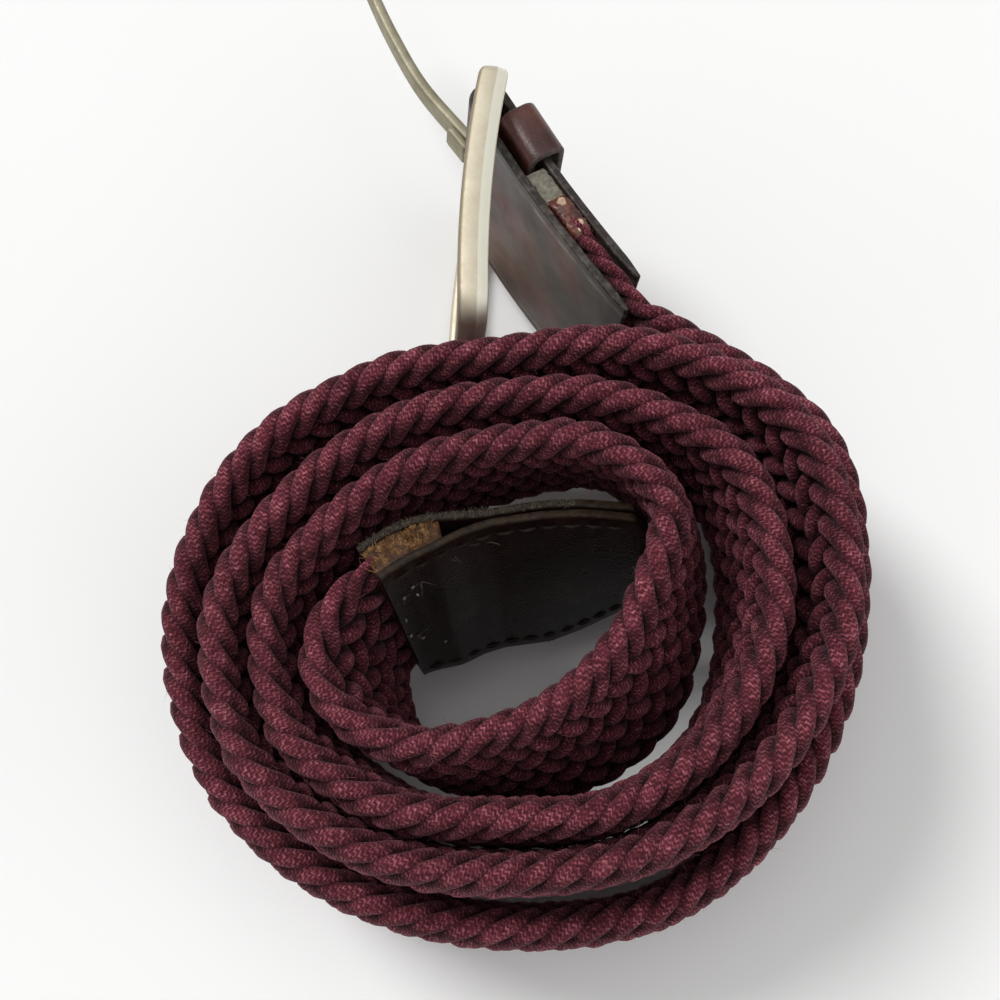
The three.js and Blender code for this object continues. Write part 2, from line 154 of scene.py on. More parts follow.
# Rounded heel of the rail: distance from its end and share of the full section
HEEL_RUN = [(0.0, 0.5), (0.12, 0.68), (0.45, 0.86), (0.9, 0.96), (1.4, 1.0)]

# Braid: strands that cross the strap to and fro, over two and under two
STRANDS = 15
STRANDS_PER_PIECE = 3
STRAND_PITCH = 4.25
STRAND_HALF_WIDTH = 1.24
STRAND_HALF_THICKNESS = 1.28
STRAND_SIDES = 12
STEPS_PER_CROSSING = 4
FLOAT_HEIGHT = 1.70
FIRST_DIVE = 2.5
FLOAT_SPAN = 2.0
EDGE_RISE = 2.7
INNER_RISE = 0.8
DIVE_SPAN = 0.9
DIVE_WIDTH = 0.80
DIVE_THICKNESS = 0.88
EDGE_ROUND = 1.55
EDGE_ROLL = 2.3
BRAID_START_ROW = 8.7
FINE_STEPS = 60
CROSSING_STEPS = 3001

# Slow changes along a strand: amount, wavelengths and seed
SIDE_WANDER = (0.16, (23, 61), 100)
HEIGHT_SWELL = (0.07, (17, 37), 200)
GIRTH_SWELL = (0.05, (13, 29), 300)

# Where light reaches the braid: rim of the strap, and share of its thickness
RIM_START = 14.2
RIM_SPAN = 3.2
OPEN_START = 0.52
OPEN_SPAN = 0.40

# Core of the braid, near-black as painted shade inside it
CORE_STEP = 2.0
CORE_INSET = 2.0
CORE_SHARE = 0.24
CORE_ROUND = 0.45

# Fibres, whose curl is a share of their length, and a direction for their first side
FIBRE_SIDE = (0.31, 0.52, 0.79)
FIBRE_TAPER = 0.6
FUZZ_PER_STRAND = 380
FUZZ_LENGTH = (0.5, 1.5)
FUZZ_SINK = 0.1
FUZZ_LIFT = 0.55
FUZZ = {"radius": 0.022, "curl": 0.5}
RIM_COUNT = 900
RIM_ROWS = (3.2, 8.95)
RIM_LENGTH = (0.15, 0.55)
RIM_MARGIN = 0.1
RIM_SINK = 0.06
RIM_SPREAD = 0.8
RIM_FIBRES = {"radius": 0.035, "curl": 0.5}
GAP_COUNT = 560
GAP_ROWS = (6.75, 8.95)
GAP_LENGTH = (0.6, 1.5)
GAP_OPEN_ROW = 8.6
GAP_MARGIN = 0.25
GAP_INSET = 0.95
GAP_DEPTHS = (-0.3, 0.12)
GAP_WAY = (0.16, 0.9, 0.25)
GAP_SPREAD = 0.42
GAP_PAST_LEATHER = 0.35
GAP_SHORTEST = 0.3
GAP_FIBRES = {"radius": 0.075, "curl": 0.45, "sides": 5}
LOOSE_LENGTH = (0.8, 2.3)
LOOSE_LIFT = 0.35
LOOSE_FIBRES = {"radius": 0.035, "curl": 0.4, "segments": 5}

# Leathers of the tab, and the filler between them
TAB_ROWS = 90
LEATHER_ROUND = 0.42
TAB_RIM = 0.40
TAB_WARP = (0.08, (3.1, 5.3), 40)
FILLER_ROWS = (6.6, 8.98)
FILLER_OPEN_ROW = 8.9
FILLER_INSET = 0.9
FILLER_MARGIN = 0.02
FILLER_THINNEST = 0.1
FILLER_ROUND = 0.08
FILLER_ROUGHNESS = 0.06
FILLER_RIM = 16.0

# Buckle leather, its ends thinned to a share over a span
FRONT_ROWS = 34
NECK_ROWS = (1.35, 2.7)
FOLD_ROWS = 15
FOLD_RADIUS = BAR_RADIUS + RUNNING_GAP + LEATHER_THICKNESS / 2
BACK_ROWS = 38
SIDE_COLUMNS = 11
SLOT_COLUMNS = 7
FRONT_SKIVE = (0.45, 6)
BACK_SKIVE = (0.5, 5)
BILLET_RIM = 1.8
BILLET_ROUND = 0.34

# Angles in degrees above which an edge stays sharp
LEATHER_SHARP = 50
RAIL_SHARP = 38
PRONG_SHARP = 40

# Stitches
STITCH_LENGTH = 2.3
STITCH_GAP = 0.45
STITCH_RADIUS = 0.27
STITCH_RISE = 0.30
STITCH_SINK = 0.14
STITCH_RINGS = 7
STITCH_SIDES = 8
STITCH_INSET = 2.2
TAB_SEAM = (1.5, 8.7)
BILLET_SEAM = (KEEPER_START + KEEPER_WIDTH + 1.6, FRONT_LEATHER_END - 2.4)

# Worn ends of thread on the tab: station and place across the leather
WORN_THREADS = [
    (8.45, 9.0), (7.9, 8.0), (8.72, 3.0), (8.8, -2.0), (8.3, -4.5), (7.4, -8.0), (8.0, 10.6),
]
WORN_RADIUS = 0.17
WORN_REACH = (0.16, 0.36)

# Fine loose fibres on the tab, placed in the same way
LOOSE_THREADS = [(8.1, 9.4), (7.8, 10.8), (6.2, 12.6), (5.4, 13.4), (8.5, -3.0)]
THREADS_PER_SPOT = 3
LOOSE_SCATTER = 0.16

# Keeper loop
KEEPER_SIDE_ROOM = 0.2
KEEPER_CORNER = 1.5
KEEPER_BULGE = 0.22
KEEPER_ROUND = 0.4
KEEPER_RIM = 0.38
KEEPER_CORNER_STEPS = 6
KEEPER_RUN_STEPS = 14
KEEPER_SIDE_STEPS = 4

# Fibre board between the buckle leathers
BOARD_ROWS = 14
BOARD_INSET = 0.5
BOARD_HALF_THICKNESS = 1.58
BOARD_ROUND = 0.35
BOARD_END_SIZE = 0.97
BOARD_ROUGHNESS = 0.10

# Pale lumps of glue on the strap end's rim: distance from the bar, place up the bar and
# towards the front, and half sizes along, up and across
GLUE_SPOTS = [
    (19.5, 17.15, 0.2, 0.8, 0.45, 0.66), (23.6, 17.15, 0.5, 0.66, 0.42, 0.52),
    (24.4, 16.95, -0.1, 0.46, 0.34, 0.4), (20.9, -16.9, 0.2, 1.1, 0.55, 0.8),
    (23.6, -16.9, 0, 0.9, 0.5, 0.7),
]
LUMP_RINGS = 12
LUMP_SIDES = 16
LUMP_ROUGHNESS = 0.13
LUMP_POLE = 0.12

# Red-brown glue along the same rim
GLUE_START = 18.3
GLUE_END = 25.4
GLUE_ROWS = 34
GLUE_PLACE = 16.3
GLUE_HALF_WIDTH = 1.05
GLUE_HALF_THICKNESS = 1.5
GLUE_ROUND = 0.5
GLUE_TAPER = 1.6
GLUE_SWELL = (0.12, (1.3, 2.9), 71)
GLUE_ROUGHNESS = 0.05

# Knitted stitches of the cord
RIB_PITCH = 0.52
KNIT_COLUMNS = 9
KNIT_RISE = 0.27

# Line of painted highlight beside the buckle leather's edges, from 0 inside to 1 at the edge
HIGHLIGHT_LINE_PLACE = 0.13

# Colours: place on a noise from 0 to 1, red, green and blue
# Cord colours, reached by random tone and by the ribs, whose share paints light on the knit's crests
# and shade in its grooves
CORD_TONES = (
    (0.24, 0.04, 0.0075, 0.012),
    (0.35, 0.112, 0.0195, 0.029),
    (0.46, 0.25, 0.062, 0.082),
    (0.58, 0.48, 0.18, 0.215),
)
# Near-black core colours: painted shade inside the braid
CORE_SHADE_TONES = ((0.3, 0.01, 0.002, 0.003), (0.7, 0.04, 0.007, 0.011))
FUZZ_TONES = ((0.3, 0.18, 0.03, 0.045), (0.7, 0.42, 0.13, 0.17))
BOARD_TONES = (
    (0.28, 0.08, 0.068, 0.05), (0.5, 0.205, 0.185, 0.145), (0.74, 0.4, 0.37, 0.3),
)
PALE_GLUE = ((0.32, 0.22, 0.1, 0.05), (0.5, 0.52, 0.38, 0.25), (0.7, 0.7, 0.58, 0.42))
RED_GLUE = (
    (0.3, 0.03, 0.008, 0.007), (0.52, 0.1, 0.023, 0.016), (0.78, 0.27, 0.095, 0.042),
)
DARK_THREAD = ((0.35, 0.007, 0.0042, 0.0032), (0.7, 0.028, 0.016, 0.012))
PALE_THREAD = ((0.35, 0.12, 0.095, 0.08), (0.7, 0.42, 0.37, 0.32))
GREY_FIBRES = ((0.35, 0.05, 0.044, 0.033), (0.7, 0.24, 0.22, 0.175))
CUT_ENDS = ((0.3, 0.04, 0.015, 0.004), (0.5, 0.135, 0.058, 0.015), (0.72, 0.46, 0.28, 0.12))
GAP_TONES = (
    (0.3, 0.014, 0.005, 0.002), (0.5, 0.055, 0.021, 0.006), (0.72, 0.15, 0.064, 0.02),
)
FLOOR_TONES = ((0.3, 0.9, 0.9, 0.895), (0.7, 0.93, 0.93, 0.925))
TAUPE = ((0.3, 0.026, 0.02, 0.017), (0.75, 0.064, 0.052, 0.045))
REDDISH_PATCH = (0.075, 0.023, 0.014)
DARK_EDGE = (0.018, 0.014, 0.012)
# Pale streaks painted on the leather's edge as highlights
EDGE_STREAK_HIGHLIGHT = (0.15, 0.13, 0.118)
# Pale line painted beside the edge as a highlight
HIGHLIGHT_LINE_TONE = (0.23, 0.205, 0.19)

# Floor and camera
FLOOR_HALF = 3.0
FLOOR_CELLS = 8
CAMERA_PLACE = np.array([11.631, -33.507, 222.0])
CAMERA_LENS = 50.4
CAMERA_SENSOR = 36.0
CAMERA_REACH = (0.01, 20.0)
CAMERA_AXES = ((0.99763, 0.0, -0.06887), (0.01769, 0.96647, 0.25619), (0.06656, -0.25680, 0.96417))

# Lights: name, where from, width in degrees and strength
LIGHTS = [
    ("key", (-0.50, 0.42, 0.85), 22, 1.75),
    ("fill", (0.80, -0.30, 0.62), 50, 0.30),
    ("top", (0.05, 0.05, 1.00), 60, 0.64),
]

# Surroundings: grey at the zenith, lighter at the horizon
ZENITH = 0.34
HORIZON = 0.86
HORIZON_HEIGHT = 0.45

rng = np.random.default_rng(RANDOM_SEED)


# Lines and noise
def unit(vectors):
    length = np.linalg.norm(vectors, axis=-1, keepdims=True)
    return vectors / np.maximum(length, 1e-12)


def round_angles(count):
    return 2 * math.pi * np.arange(count) / count


def length_along(line):
    """Distance along a line of points from its first one."""
    return np.concatenate([[0.0], np.cumsum(np.linalg.norm(np.diff(line, axis=0), axis=1))])


def point_at(distance, length, line):
    return np.array([np.interp(distance, length, column) for column in line.T])


def spans(start, end, leave, arrive):
    """Coefficients of a smooth curve's spans, from their ends and slopes."""
    square = -3 * start + 3 * end - 2 * leave - arrive
    cube = 2 * start - 2 * end + leave + arrive
    return np.stack([start, leave, square, cube])


def on_curve(curve, at):
    """Places on a curve, and slopes, at values that count its spans."""
    span = np.clip(np.floor(at).astype(int), 0, curve.shape[1] - 1)
    t = (at - span)[:, None]
    c0, c1, c2, c3 = (curve[k][span] for k in range(4))
    return c0 + t * (c1 + t * (c2 + t * c3)), c1 + t * (2 * c2 + 3 * t * c3)


def curve_through(points):
    """A centripetal Catmull-Rom curve."""
    padded = np.vstack([2 * points[0] - points[1], points, 2 * points[-1] - points[-2]])
    step = np.diff(padded, axis=0)
    d = np.sqrt(np.linalg.norm(step, axis=1))[:, None]
    slope = (step / d)[:-1] - (padded[2:] - padded[:-2]) / (d[:-1] + d[1:]) + (step / d)[1:]
    return spans(points[:-1], points[1:], slope[:-1] * d[1:-1], slope[1:] * d[1:-1])


def smooth_columns(table, at):
    """The columns of a table as smooth curves over its first one."""
    x, values = table[:, 0], table[:, 1:]
    h = np.diff(x)[:, None]
    slope = np.gradient(values, x, axis=0)
    curve = spans(values[:-1], values[1:], slope[:-1] * h, slope[1:] * h)
    return on_curve(curve, np.interp(at, x, np.arange(len(x))))[0].T


def sway(kind, values, index=0):
    """A value that wanders smoothly, from an amount, wavelengths and a seed."""
    amount, waves, seed = kind
    local = np.random.default_rng(seed + index)
    total = np.zeros_like(values, float)
    for wave in waves:
        total += np.sin(2 * math.pi * (values / wave + local.random()))
    return amount * total / len(waves)


# Meshes
def add_object(name, data, axes=None, place=(0.0, 0.0, 0.0)):
    obj = bpy.data.objects.new(name, data)
    bpy.context.scene.collection.objects.link(obj)
    if axes is not None:
        matrix = np.eye(4)
        matrix[:3, :3] = np.array(axes).T
        matrix[:3, 3] = place
        obj.matrix_world = Matrix(matrix.tolist())
    return obj


def signed_volume(points, quads):
    a, b, c, d = (points[quads[:, i]] for i in range(4))
    first = np.einsum("ij,ij->i", a, np.cross(b, c)).sum()
    return first + np.einsum("ij,ij->i", a, np.cross(c, d)).sum()


def build_mesh(name, points, quads, caps=(), uv=None, attributes=None, sharp=None):
    """An object that faces outwards, with nothing below the surface it lies on."""
    points = np.array(points, float)
    points[:, 2] = np.maximum(points[:, 2], 0.0)
    quads = np.asarray(quads, int)
    if signed_volume(points - points.mean(0), quads) < 0:
        quads = quads[:, ::-1]
        caps = [cap[::-1] for cap in caps]
        uv = None if uv is None else uv[:, ::-1]
    data = bpy.data.meshes.new(name)
    data.from_pydata(points * MM, [], [*quads.tolist(), *[list(cap) for cap in caps]])
    if uv is not None:
        flat = np.zeros((len(data.loops), 2))
        flat[: quads.size] = uv.reshape(-1, 2)
        data.uv_layers.new(name="UVMap").data.foreach_set("uv", flat.ravel())
    for key, values in (attributes or {}).items():
        layer = data.attributes.new(key, "FLOAT", "POINT")
        layer.data.foreach_set("value", np.asarray(values, np.float32).ravel())
    data.validate()
    data.shade_smooth()
    if sharp is not None:
        data.set_sharp_from_angle(angle=math.radians(sharp))
    return add_object(name, data)


def ring_quads(rings, sides, first=0, closed=False):
    """Quads between rings of points, each ring closed on itself."""
    near = np.arange(rings * sides).reshape(rings, sides) + first
    far = np.roll(near, -1, 0)
    if not closed:
        near, far = near[:-1], far[:-1]
    quads = [near, np.roll(near, -1, 1), np.roll(far, -1, 1), far]
    return np.stack(quads, -1).reshape(-1, 4)


def ring_uv(along, sides):
    """Share of the way round and distance along, for ring_quads."""
    low, near = np.meshgrid(np.arange(sides) / sides, along[:-1])
    far = np.broadcast_to(along[1:, None], near.shape)
    high = low + 1 / sides
    return np.stack([low, near, high, near, high, far, low, far], -1).reshape(-1, 4, 2)


def tubes(name, tube_rings, **extra):
    """One object of tubes with closed ends, each given by its rings."""
    points, quads, caps = [], [], []
    first = 0
    for rings in tube_rings:
        count, sides = rings.shape[:2]
        points.append(rings.reshape(-1, 3))
        quads.append(ring_quads(count, sides, first))
        end = first + np.arange(sides)
        caps += [end[::-1], end + (count - 1) * sides]
        first += count * sides
    return build_mesh(name, np.vstack(points), np.vstack(quads), caps, **extra)


def loft(name, rings, closed=False, **extra):
    rings = np.asarray(rings)
    if not closed:
        return tubes(name, [rings], **extra)
    quads = ring_quads(*rings.shape[:2], closed=True)
    return build_mesh(name, rings.reshape(-1, 3), quads, **extra)


def join(name, pieces):
    context = {"active_object": pieces[0], "selected_editable_objects": pieces}
    with bpy.context.temp_override(**context):
        bpy.ops.object.join()
    pieces[0].name = name
    return pieces[0]


def rounded_section(half_width, half_thickness, radius, corner_steps, flat_steps=1):
    """Points of a section with rounded corners, its long sides in flat_steps."""
    run, rise = half_width - radius, half_thickness - radius
    points = []
    for quarter, (sx, sy) in enumerate([(1, 1), (-1, 1), (-1, -1), (1, -1)]):
        for k in range(corner_steps + 1):
            angle = math.pi / 2 * (quarter + k / corner_steps)
            points.append((
                sx * run + radius * math.cos(angle), sy * rise + radius * math.sin(angle),
            ))
        if quarter % 2 == 0:
            for k in range(1, flat_steps):
                points.append((sx * run * (1 - 2 * k / flat_steps), sy * half_thickness))
    return np.array(points)


def hair_tubes(name, roots, ways, lengths, radius, curl, segments=3, sides=3):
    """Short fibres, each bending away from its way."""
    bend = unit(rng.normal(size=roots.shape))
    t = np.linspace(0, 1, segments + 1)[:, None]
    path = ways[:, None] * t + bend[:, None] * (curl * t ** 2)
    path = roots[:, None] + lengths[:, None, None] * path
    tangent = unit(np.gradient(path, axis=1))
    side = unit(np.cross(tangent, FIBRE_SIDE))
    other = np.cross(tangent, side)
    angle = round_angles(sides)[:, None]
    thin = radius * (1 - FIBRE_TAPER * t)[None, :, :, None]
    around = side[:, :, None] * np.cos(angle) + other[:, :, None] * np.sin(angle)
    return tubes(name, path[:, :, None] + thin * around)


# Ribbon of the strap, from the tip of the tab to the buckle
bar_up = unit(BAR_LEAN)
bar_away = np.array([math.cos(BILLET_BEARING), math.sin(BILLET_BEARING), 0.0])
bar_away = unit(bar_away - bar_up * (bar_away @ bar_up))
bar_front = np.cross(bar_away, bar_up)
bar_place = COIL_MIDDLE + BAR_MIDDLE


def billet_bow(from_bar):
    share = np.maximum(0, (np.asarray(from_bar, float) - BOW_START) / (BOW_END - BOW_START))
    return BILLET_BOW * share ** 1.5


def at_bar(away, up, front):
    """Points given away from the coil, up the bar and out of its front."""
    points = np.stack(np.broadcast_arrays(away, up, front), -1)
    return bar_place + points @ np.stack([bar_away, bar_up, bar_front])


def station_edges():
    """Upper and lower edge of the strap at each station."""
    rows = [((ux, uy), (lx, ly), INNER_LIFT) for ux, uy, lx, ly in TAB_RUN]
    for turn in range(TURNS):
        for bearing, up, low, lift in COIL:
            if up[turn] is not None:
                angle = math.radians(bearing)
                spoke = np.array([math.cos(angle), math.sin(angle)])
                rows.append((up[turn] * spoke, low[turn] * spoke, lift[turn]))
    upper, lower = [], []
    for up_xy, low_xy, lift in rows:
        rise = math.sqrt(BRAID_WIDTH ** 2 - math.dist(up_xy, low_xy) ** 2)
        upper.append((*up_xy, lift + rise))
        lower.append((*low_xy, lift))
    for from_bar, _ in BILLET_RUN:
        centre = BAR_MIDDLE - from_bar * bar_away + billet_bow(from_bar) * bar_front
        upper.append(centre + bar_up * BRAID_WIDTH / 2)
        lower.append(centre - bar_up * BRAID_WIDTH / 2)
    return np.array(upper), np.array(lower)


station_upper, station_lower = station_edges()
LAST_STATION = len(station_upper) - 1
upper_curve = curve_through(station_upper)
lower_curve = curve_through(station_lower)
full_rows = len(station_upper) - len(TAB_THICK) - len(BILLET_RUN)
THICK = [*TAB_THICK, *[BRAID_THICKNESS] * full_rows, *[thick for _, thick in BILLET_RUN]]


def strap_frame(at):
    """Middle of the ribbon and its width, outward and forward directions."""
    upper, upper_way = on_curve(upper_curve, at)
    lower, lower_way = on_curve(lower_curve, at)
    centre = (upper + lower) / 2 + COIL_MIDDLE
    width = unit(upper - lower)
    outward = unit(np.cross(unit(upper_way + lower_way), width))
    return centre, width, outward, np.cross(width, outward)


def between(column, at):
    return np.interp(at, np.arange(len(column)), column)


def strap_loft(name, at, sections, **extra):
    """A loft along the strap from sections given across it and outwards."""
    centre, width, outward, _ = strap_frame(at)
    rings = [
        c + section[:, :1] * w + section[:, 1:] * o
        for c, w, o, section in zip(centre, width, outward, sections)
    ]
    return loft(name, rings, **extra)


fine_at = np.linspace(BRAID_START_ROW, LAST_STATION, FINE_STEPS * (LAST_STATION - STRAP_START_ROW))
fine_length = length_along(strap_frame(fine_at)[0])
STRAP_LENGTH = fine_length[-1]


# Braid
def crossing_tables():
    """Place across the strap, from -1 to 1, and where floats change."""
    u = np.linspace(0, STRANDS, CROSSING_STEPS)
    slope = np.tanh(u / EDGE_ROUND) * np.tanh((STRANDS - u) / EDGE_ROUND)
    across = np.concatenate([[0], np.cumsum((slope[1:] + slope[:-1]) / 2)])
    changes = [0.0, *np.arange(FIRST_DIVE, STRANDS - 2, FLOAT_SPAN), float(STRANDS)]
    return u, 2 * across / across[-1] - 1, np.array(changes)


cross_u, cross_across, float_changes = crossing_tables()


def float_shape(u):
    """Height of a strand, from -1 to 1, and how clear it is of a dive."""
    last_run = len(float_changes) - 2
    run = np.clip(np.searchsorted(float_changes, u, side="right") - 1, 0, last_run)
    start, end = float_changes[run], float_changes[run + 1]
    first, last = run == 0, run == last_run
    rise = (u - start) / np.where(first, EDGE_RISE, INNER_RISE)
    fall = (end - u) / np.where(last, EDGE_RISE, INNER_RISE)
    height = np.sin(np.pi / 2 * np.clip(np.minimum(rise, fall), 0, 1))
    clear = np.minimum(np.where(first, np.inf, u - start), np.where(last, np.inf, end - u))
    clear = np.clip(clear / DIVE_SPAN, 0, 1)
    return np.where(run % 2 == 0, height, -height), clear * clear * (3 - 2 * clear)


def strand_course(index):
    """A strand's way along, across and out of the strap, its clearness and roll."""
    period = STRAND_PITCH * STRANDS
    step = period / (2 * STRANDS) / STEPS_PER_CROSSING
    along = np.linspace(0, STRAP_LENGTH, int(STRAP_LENGTH / step) + 1)
    crossings = 2 * STRANDS * along / period + 2 * index
    leg = crossings % (2 * STRANDS)
    going_up = leg <= STRANDS
    u = np.where(going_up, leg, 2 * STRANDS - leg)
    height, clear = float_shape(u)
    height = np.where(going_up, height, -height)
    across = np.interp(u, cross_u, cross_across) * (BRAID_WIDTH / 2 - STRAND_HALF_THICKNESS)
    across += sway(SIDE_WANDER, along, index)
    depth = FLOAT_HEIGHT * height * (1 + sway(HEIGHT_SWELL, along, index))
    nearest = np.round(crossings / STRANDS)
    past_edge = np.clip((crossings - nearest * STRANDS) / EDGE_ROLL, -1, 1)
    roll = np.pi * (nearest - 0.5 + 0.5 * np.sin(np.pi / 2 * past_edge))
    return along, across, depth, clear, roll


def strand_rings(index):
    """Rings of a strand, distance along it, openness, and the rings' offsets."""
    along, across, depth, clear, roll = strand_course(index)
    at = np.interp(along, fine_length, fine_at)
    centre, width, outward, _ = strap_frame(at)
    press = (between(THICK, at) / BRAID_THICKNESS)[:, None]
    line = centre + width * across[:, None] + outward * depth[:, None]
    tangent = unit(np.gradient(line, axis=0))
    normal = outward * np.cos(roll)[:, None] + width * np.sin(roll)[:, None]
    normal = unit(normal - tangent * np.sum(normal * tangent, 1)[:, None])
    side = np.cross(tangent, normal)
    girth = 1 + sway(GIRTH_SWELL, along, index)
    half_width = STRAND_HALF_WIDTH * girth * (DIVE_WIDTH + (1 - DIVE_WIDTH) * clear)
    share = DIVE_THICKNESS + (1 - DIVE_THICKNESS) * clear
    half_thickness = STRAND_HALF_THICKNESS * girth * share
    angle = round_angles(STRAND_SIDES)
    offset = (
        side[:, None] * (half_width[:, None] * np.cos(angle))[..., None]
        + normal[:, None] * (half_thickness[:, None] * np.sin(angle))[..., None]
    )
    place = line[:, None] - centre[:, None] + offset
    outwards = np.einsum("ijk,ik->ij", place, outward)
    sideways = np.einsum("ijk,ik->ij", place, width)
    full = FLOAT_HEIGHT + STRAND_HALF_THICKNESS
    share = np.maximum(np.abs(outwards) / full, (np.abs(sideways) - RIM_START) / RIM_SPAN)
    openness = np.clip((share - OPEN_START) / OPEN_SPAN, 0, 1)
    place = place - outward[:, None] * outwards[..., None] * (1 - press[:, None])
    return centre[:, None] + place, length_along(line), openness, offset


def braid_piece(name, indices):
    rings, lengths, openness, _ = zip(*[strand_rings(index) for index in indices])
    uv = np.concatenate([ring_uv(length, STRAND_SIDES) for length in lengths])
    attributes = {"openness": np.concatenate([share.ravel() for share in openness])}
    return tubes(name, rings, uv=uv, attributes=attributes)


def braid_core():
    """The inside of the braid, near-black as painted shade."""
    at = np.interp(np.arange(0, STRAP_LENGTH, CORE_STEP), fine_length, fine_at)
    sections = [
        rounded_section(BRAID_WIDTH / 2 - CORE_INSET, t / 2, t * CORE_ROUND, 2)
        for t in between(THICK, at) * CORE_SHARE
    ]
    return strap_loft("braid_core", at, sections)


def braid_fuzz():
    roots, ways = [], []
    for index in range(STRANDS):
        rings, _, _, offset = strand_rings(index)
        ring = rng.integers(4, len(rings) - 4, FUZZ_PER_STRAND)
        side = rng.integers(0, STRAND_SIDES, FUZZ_PER_STRAND)
        root = rings[ring, side]
        out = unit(offset[ring, side])
        along = unit(rings[ring + 1, side] - root)
        roots.append(root - FUZZ_SINK * out)
        ways.append(unit(FUZZ_LIFT * out + along * rng.choice([-1, 1], FUZZ_PER_STRAND)[:, None]))
    roots, ways = np.vstack(roots), np.vstack(ways)
    lengths = rng.uniform(*FUZZ_LENGTH, len(roots))
    return hair_tubes("braid_fuzz", roots, ways, lengths, **FUZZ)


# Stitches and threads
def stitch_rings(start, end, normal, radius=STITCH_RADIUS):
    """One stitch, rising from the leather and going back into it."""
    t = np.linspace(0, 1, STITCH_RINGS)[:, None]
    rise = STITCH_RISE * np.sin(np.pi * t) - STITCH_SINK
    path = start + (end - start) * t + normal * rise
    tangent = unit(np.gradient(path, axis=0))
    side = unit(np.cross(tangent, normal))
    other = np.cross(side, tangent)
    angle = round_angles(STITCH_SIDES)[:, None]
    fat = radius * (0.55 + 0.45 * np.sin(np.pi * np.clip(t, 0.08, 0.92)))
    around = side[:, None] * np.cos(angle) + other[:, None] * np.sin(angle)
    return path[:, None] + fat[:, None] * around


def stitches(name, runs):
    """Stitches along lines of points with normals."""
    rings = []
    for path, normal in runs:
        length = length_along(path)
        count = int(length[-1] / (STITCH_LENGTH + STITCH_GAP))
        for near in np.arange(count) * length[-1] / count:
            start = point_at(near, length, path)
            end = point_at(near + STITCH_LENGTH, length, path)
            rings.append(stitch_rings(start, end, unit(point_at(near, length, normal))))
    return tubes(name, rings)


def tab_edges(at, inset=0.0):
    """Upper and lower edge of the tab's leathers."""
    high = BRAID_WIDTH / 2 - between(CUT_UP, at) - inset
    low = -BRAID_WIDTH / 2 + between(CUT_LOW, at) + inset
    return high, low


def tab_stitches():
    at = np.linspace(*TAB_SEAM, 60)
    centre, width, outward, _ = strap_frame(at)
    runs = []
    for side in (-1, 1):
        out = side * (between(ROOM, at) + LEATHER_THICKNESS)
        face = centre + outward * out[:, None]
        for edge in tab_edges(at, STITCH_INSET):
            runs.append((face + width * edge[:, None], side * outward))
    return stitches("tab_stitches", runs)


def billet_stitches():
    """Two lines on the front of the buckle leather, clear of the keeper."""
    reach = BAR_RADIUS + RUNNING_GAP + LEATHER_THICKNESS
    d = np.linspace(*BILLET_SEAM, 40)
    normal = np.broadcast_to(bar_front, (len(d), 3))
    edge = LEATHER_WIDTH / 2 - STITCH_INSET
    runs = [(at_bar(-d, y, reach + billet_bow(d)), normal) for y in (-edge, edge)]
    return stitches("billet_stitches", runs)


def worn_threads():
    pieces = []
    for number, (station, across) in enumerate(WORN_THREADS):
        at = np.array([station])
        centre, width, outward, forward = (v[0] for v in strap_frame(at))
        face = centre + width * across - outward * (between(ROOM, at)[0] + LEATHER_THICKNESS)
        turn = rng.uniform(0, math.pi)
        way = forward * math.cos(turn) + width * math.sin(turn)
        reach = rng.uniform(*WORN_REACH)
        rings = stitch_rings(face - way * reach, face + way * reach, -outward, WORN_RADIUS)
        pieces.append(loft(f"worn_thread_{number}", rings))
    return join("tab_worn_threads", pieces)


def loose_threads():
    """Fine fibres of thread on the tab's face."""
    spots = np.repeat(np.array(LOOSE_THREADS), THREADS_PER_SPOT, axis=0)
    spots = spots + rng.normal(0, LOOSE_SCATTER, spots.shape)
    centre, width, outward, forward = strap_frame(spots[:, 0])
    depth = between(ROOM, spots[:, 0]) + LEATHER_THICKNESS
    roots = centre + width * spots[:, 1:] - outward * depth[:, None]
    turn = rng.uniform(0, 2 * math.pi, (len(roots), 1))
    ways = unit(forward * np.cos(turn) + width * np.sin(turn) - outward * LOOSE_LIFT)
    lengths = rng.uniform(*LOOSE_LENGTH, len(roots))
    return hair_tubes("tab_loose_threads", roots, ways, lengths, **LOOSE_FIBRES)


# Tip tab
def tab_leather(name, side):
    at = np.linspace(0, TAB_ROOT_ROW, TAB_ROWS)
    high, low = tab_edges(at)
    offset = side * (between(ROOM, at) + LEATHER_THICKNESS / 2) + sway(TAB_WARP, at, side)
    sections, rims = [], []
    for h, l, off in zip(high, low, offset):
        half = (h - l) / 2
        section = rounded_section(half, LEATHER_THICKNESS / 2, LEATHER_ROUND, 4, 24)
        rims.append(np.abs(section[:, 0]) > half - TAB_RIM)
        sections.append(section + [(h + l) / 2, off])
    rim = np.array(rims, float)
    return strap_loft(name, at, sections, attributes={"rim": rim}, sharp=LEATHER_SHARP)


def tab_edge_fuzz():
    """Grey fibres along the rim of the back leather."""
    at = rng.uniform(*RIM_ROWS, RIM_COUNT)
    centre, width, outward, forward = strap_frame(at)
    out = between(ROOM, at) + rng.uniform(RIM_MARGIN, LEATHER_THICKNESS - RIM_MARGIN, RIM_COUNT)
    up, _ = tab_edges(at, RIM_SINK)
    roots = centre + width * up[:, None] + outward * out[:, None]
    lean = rng.normal(0, RIM_SPREAD, (RIM_COUNT, 2))
    ways = unit(width * RIM_SPREAD + outward * lean[:, :1] + forward * lean[:, 1:])
    lengths = rng.uniform(*RIM_LENGTH, RIM_COUNT)
    return hair_tubes("tab_edge_fuzz", roots, ways, lengths, **RIM_FIBRES)


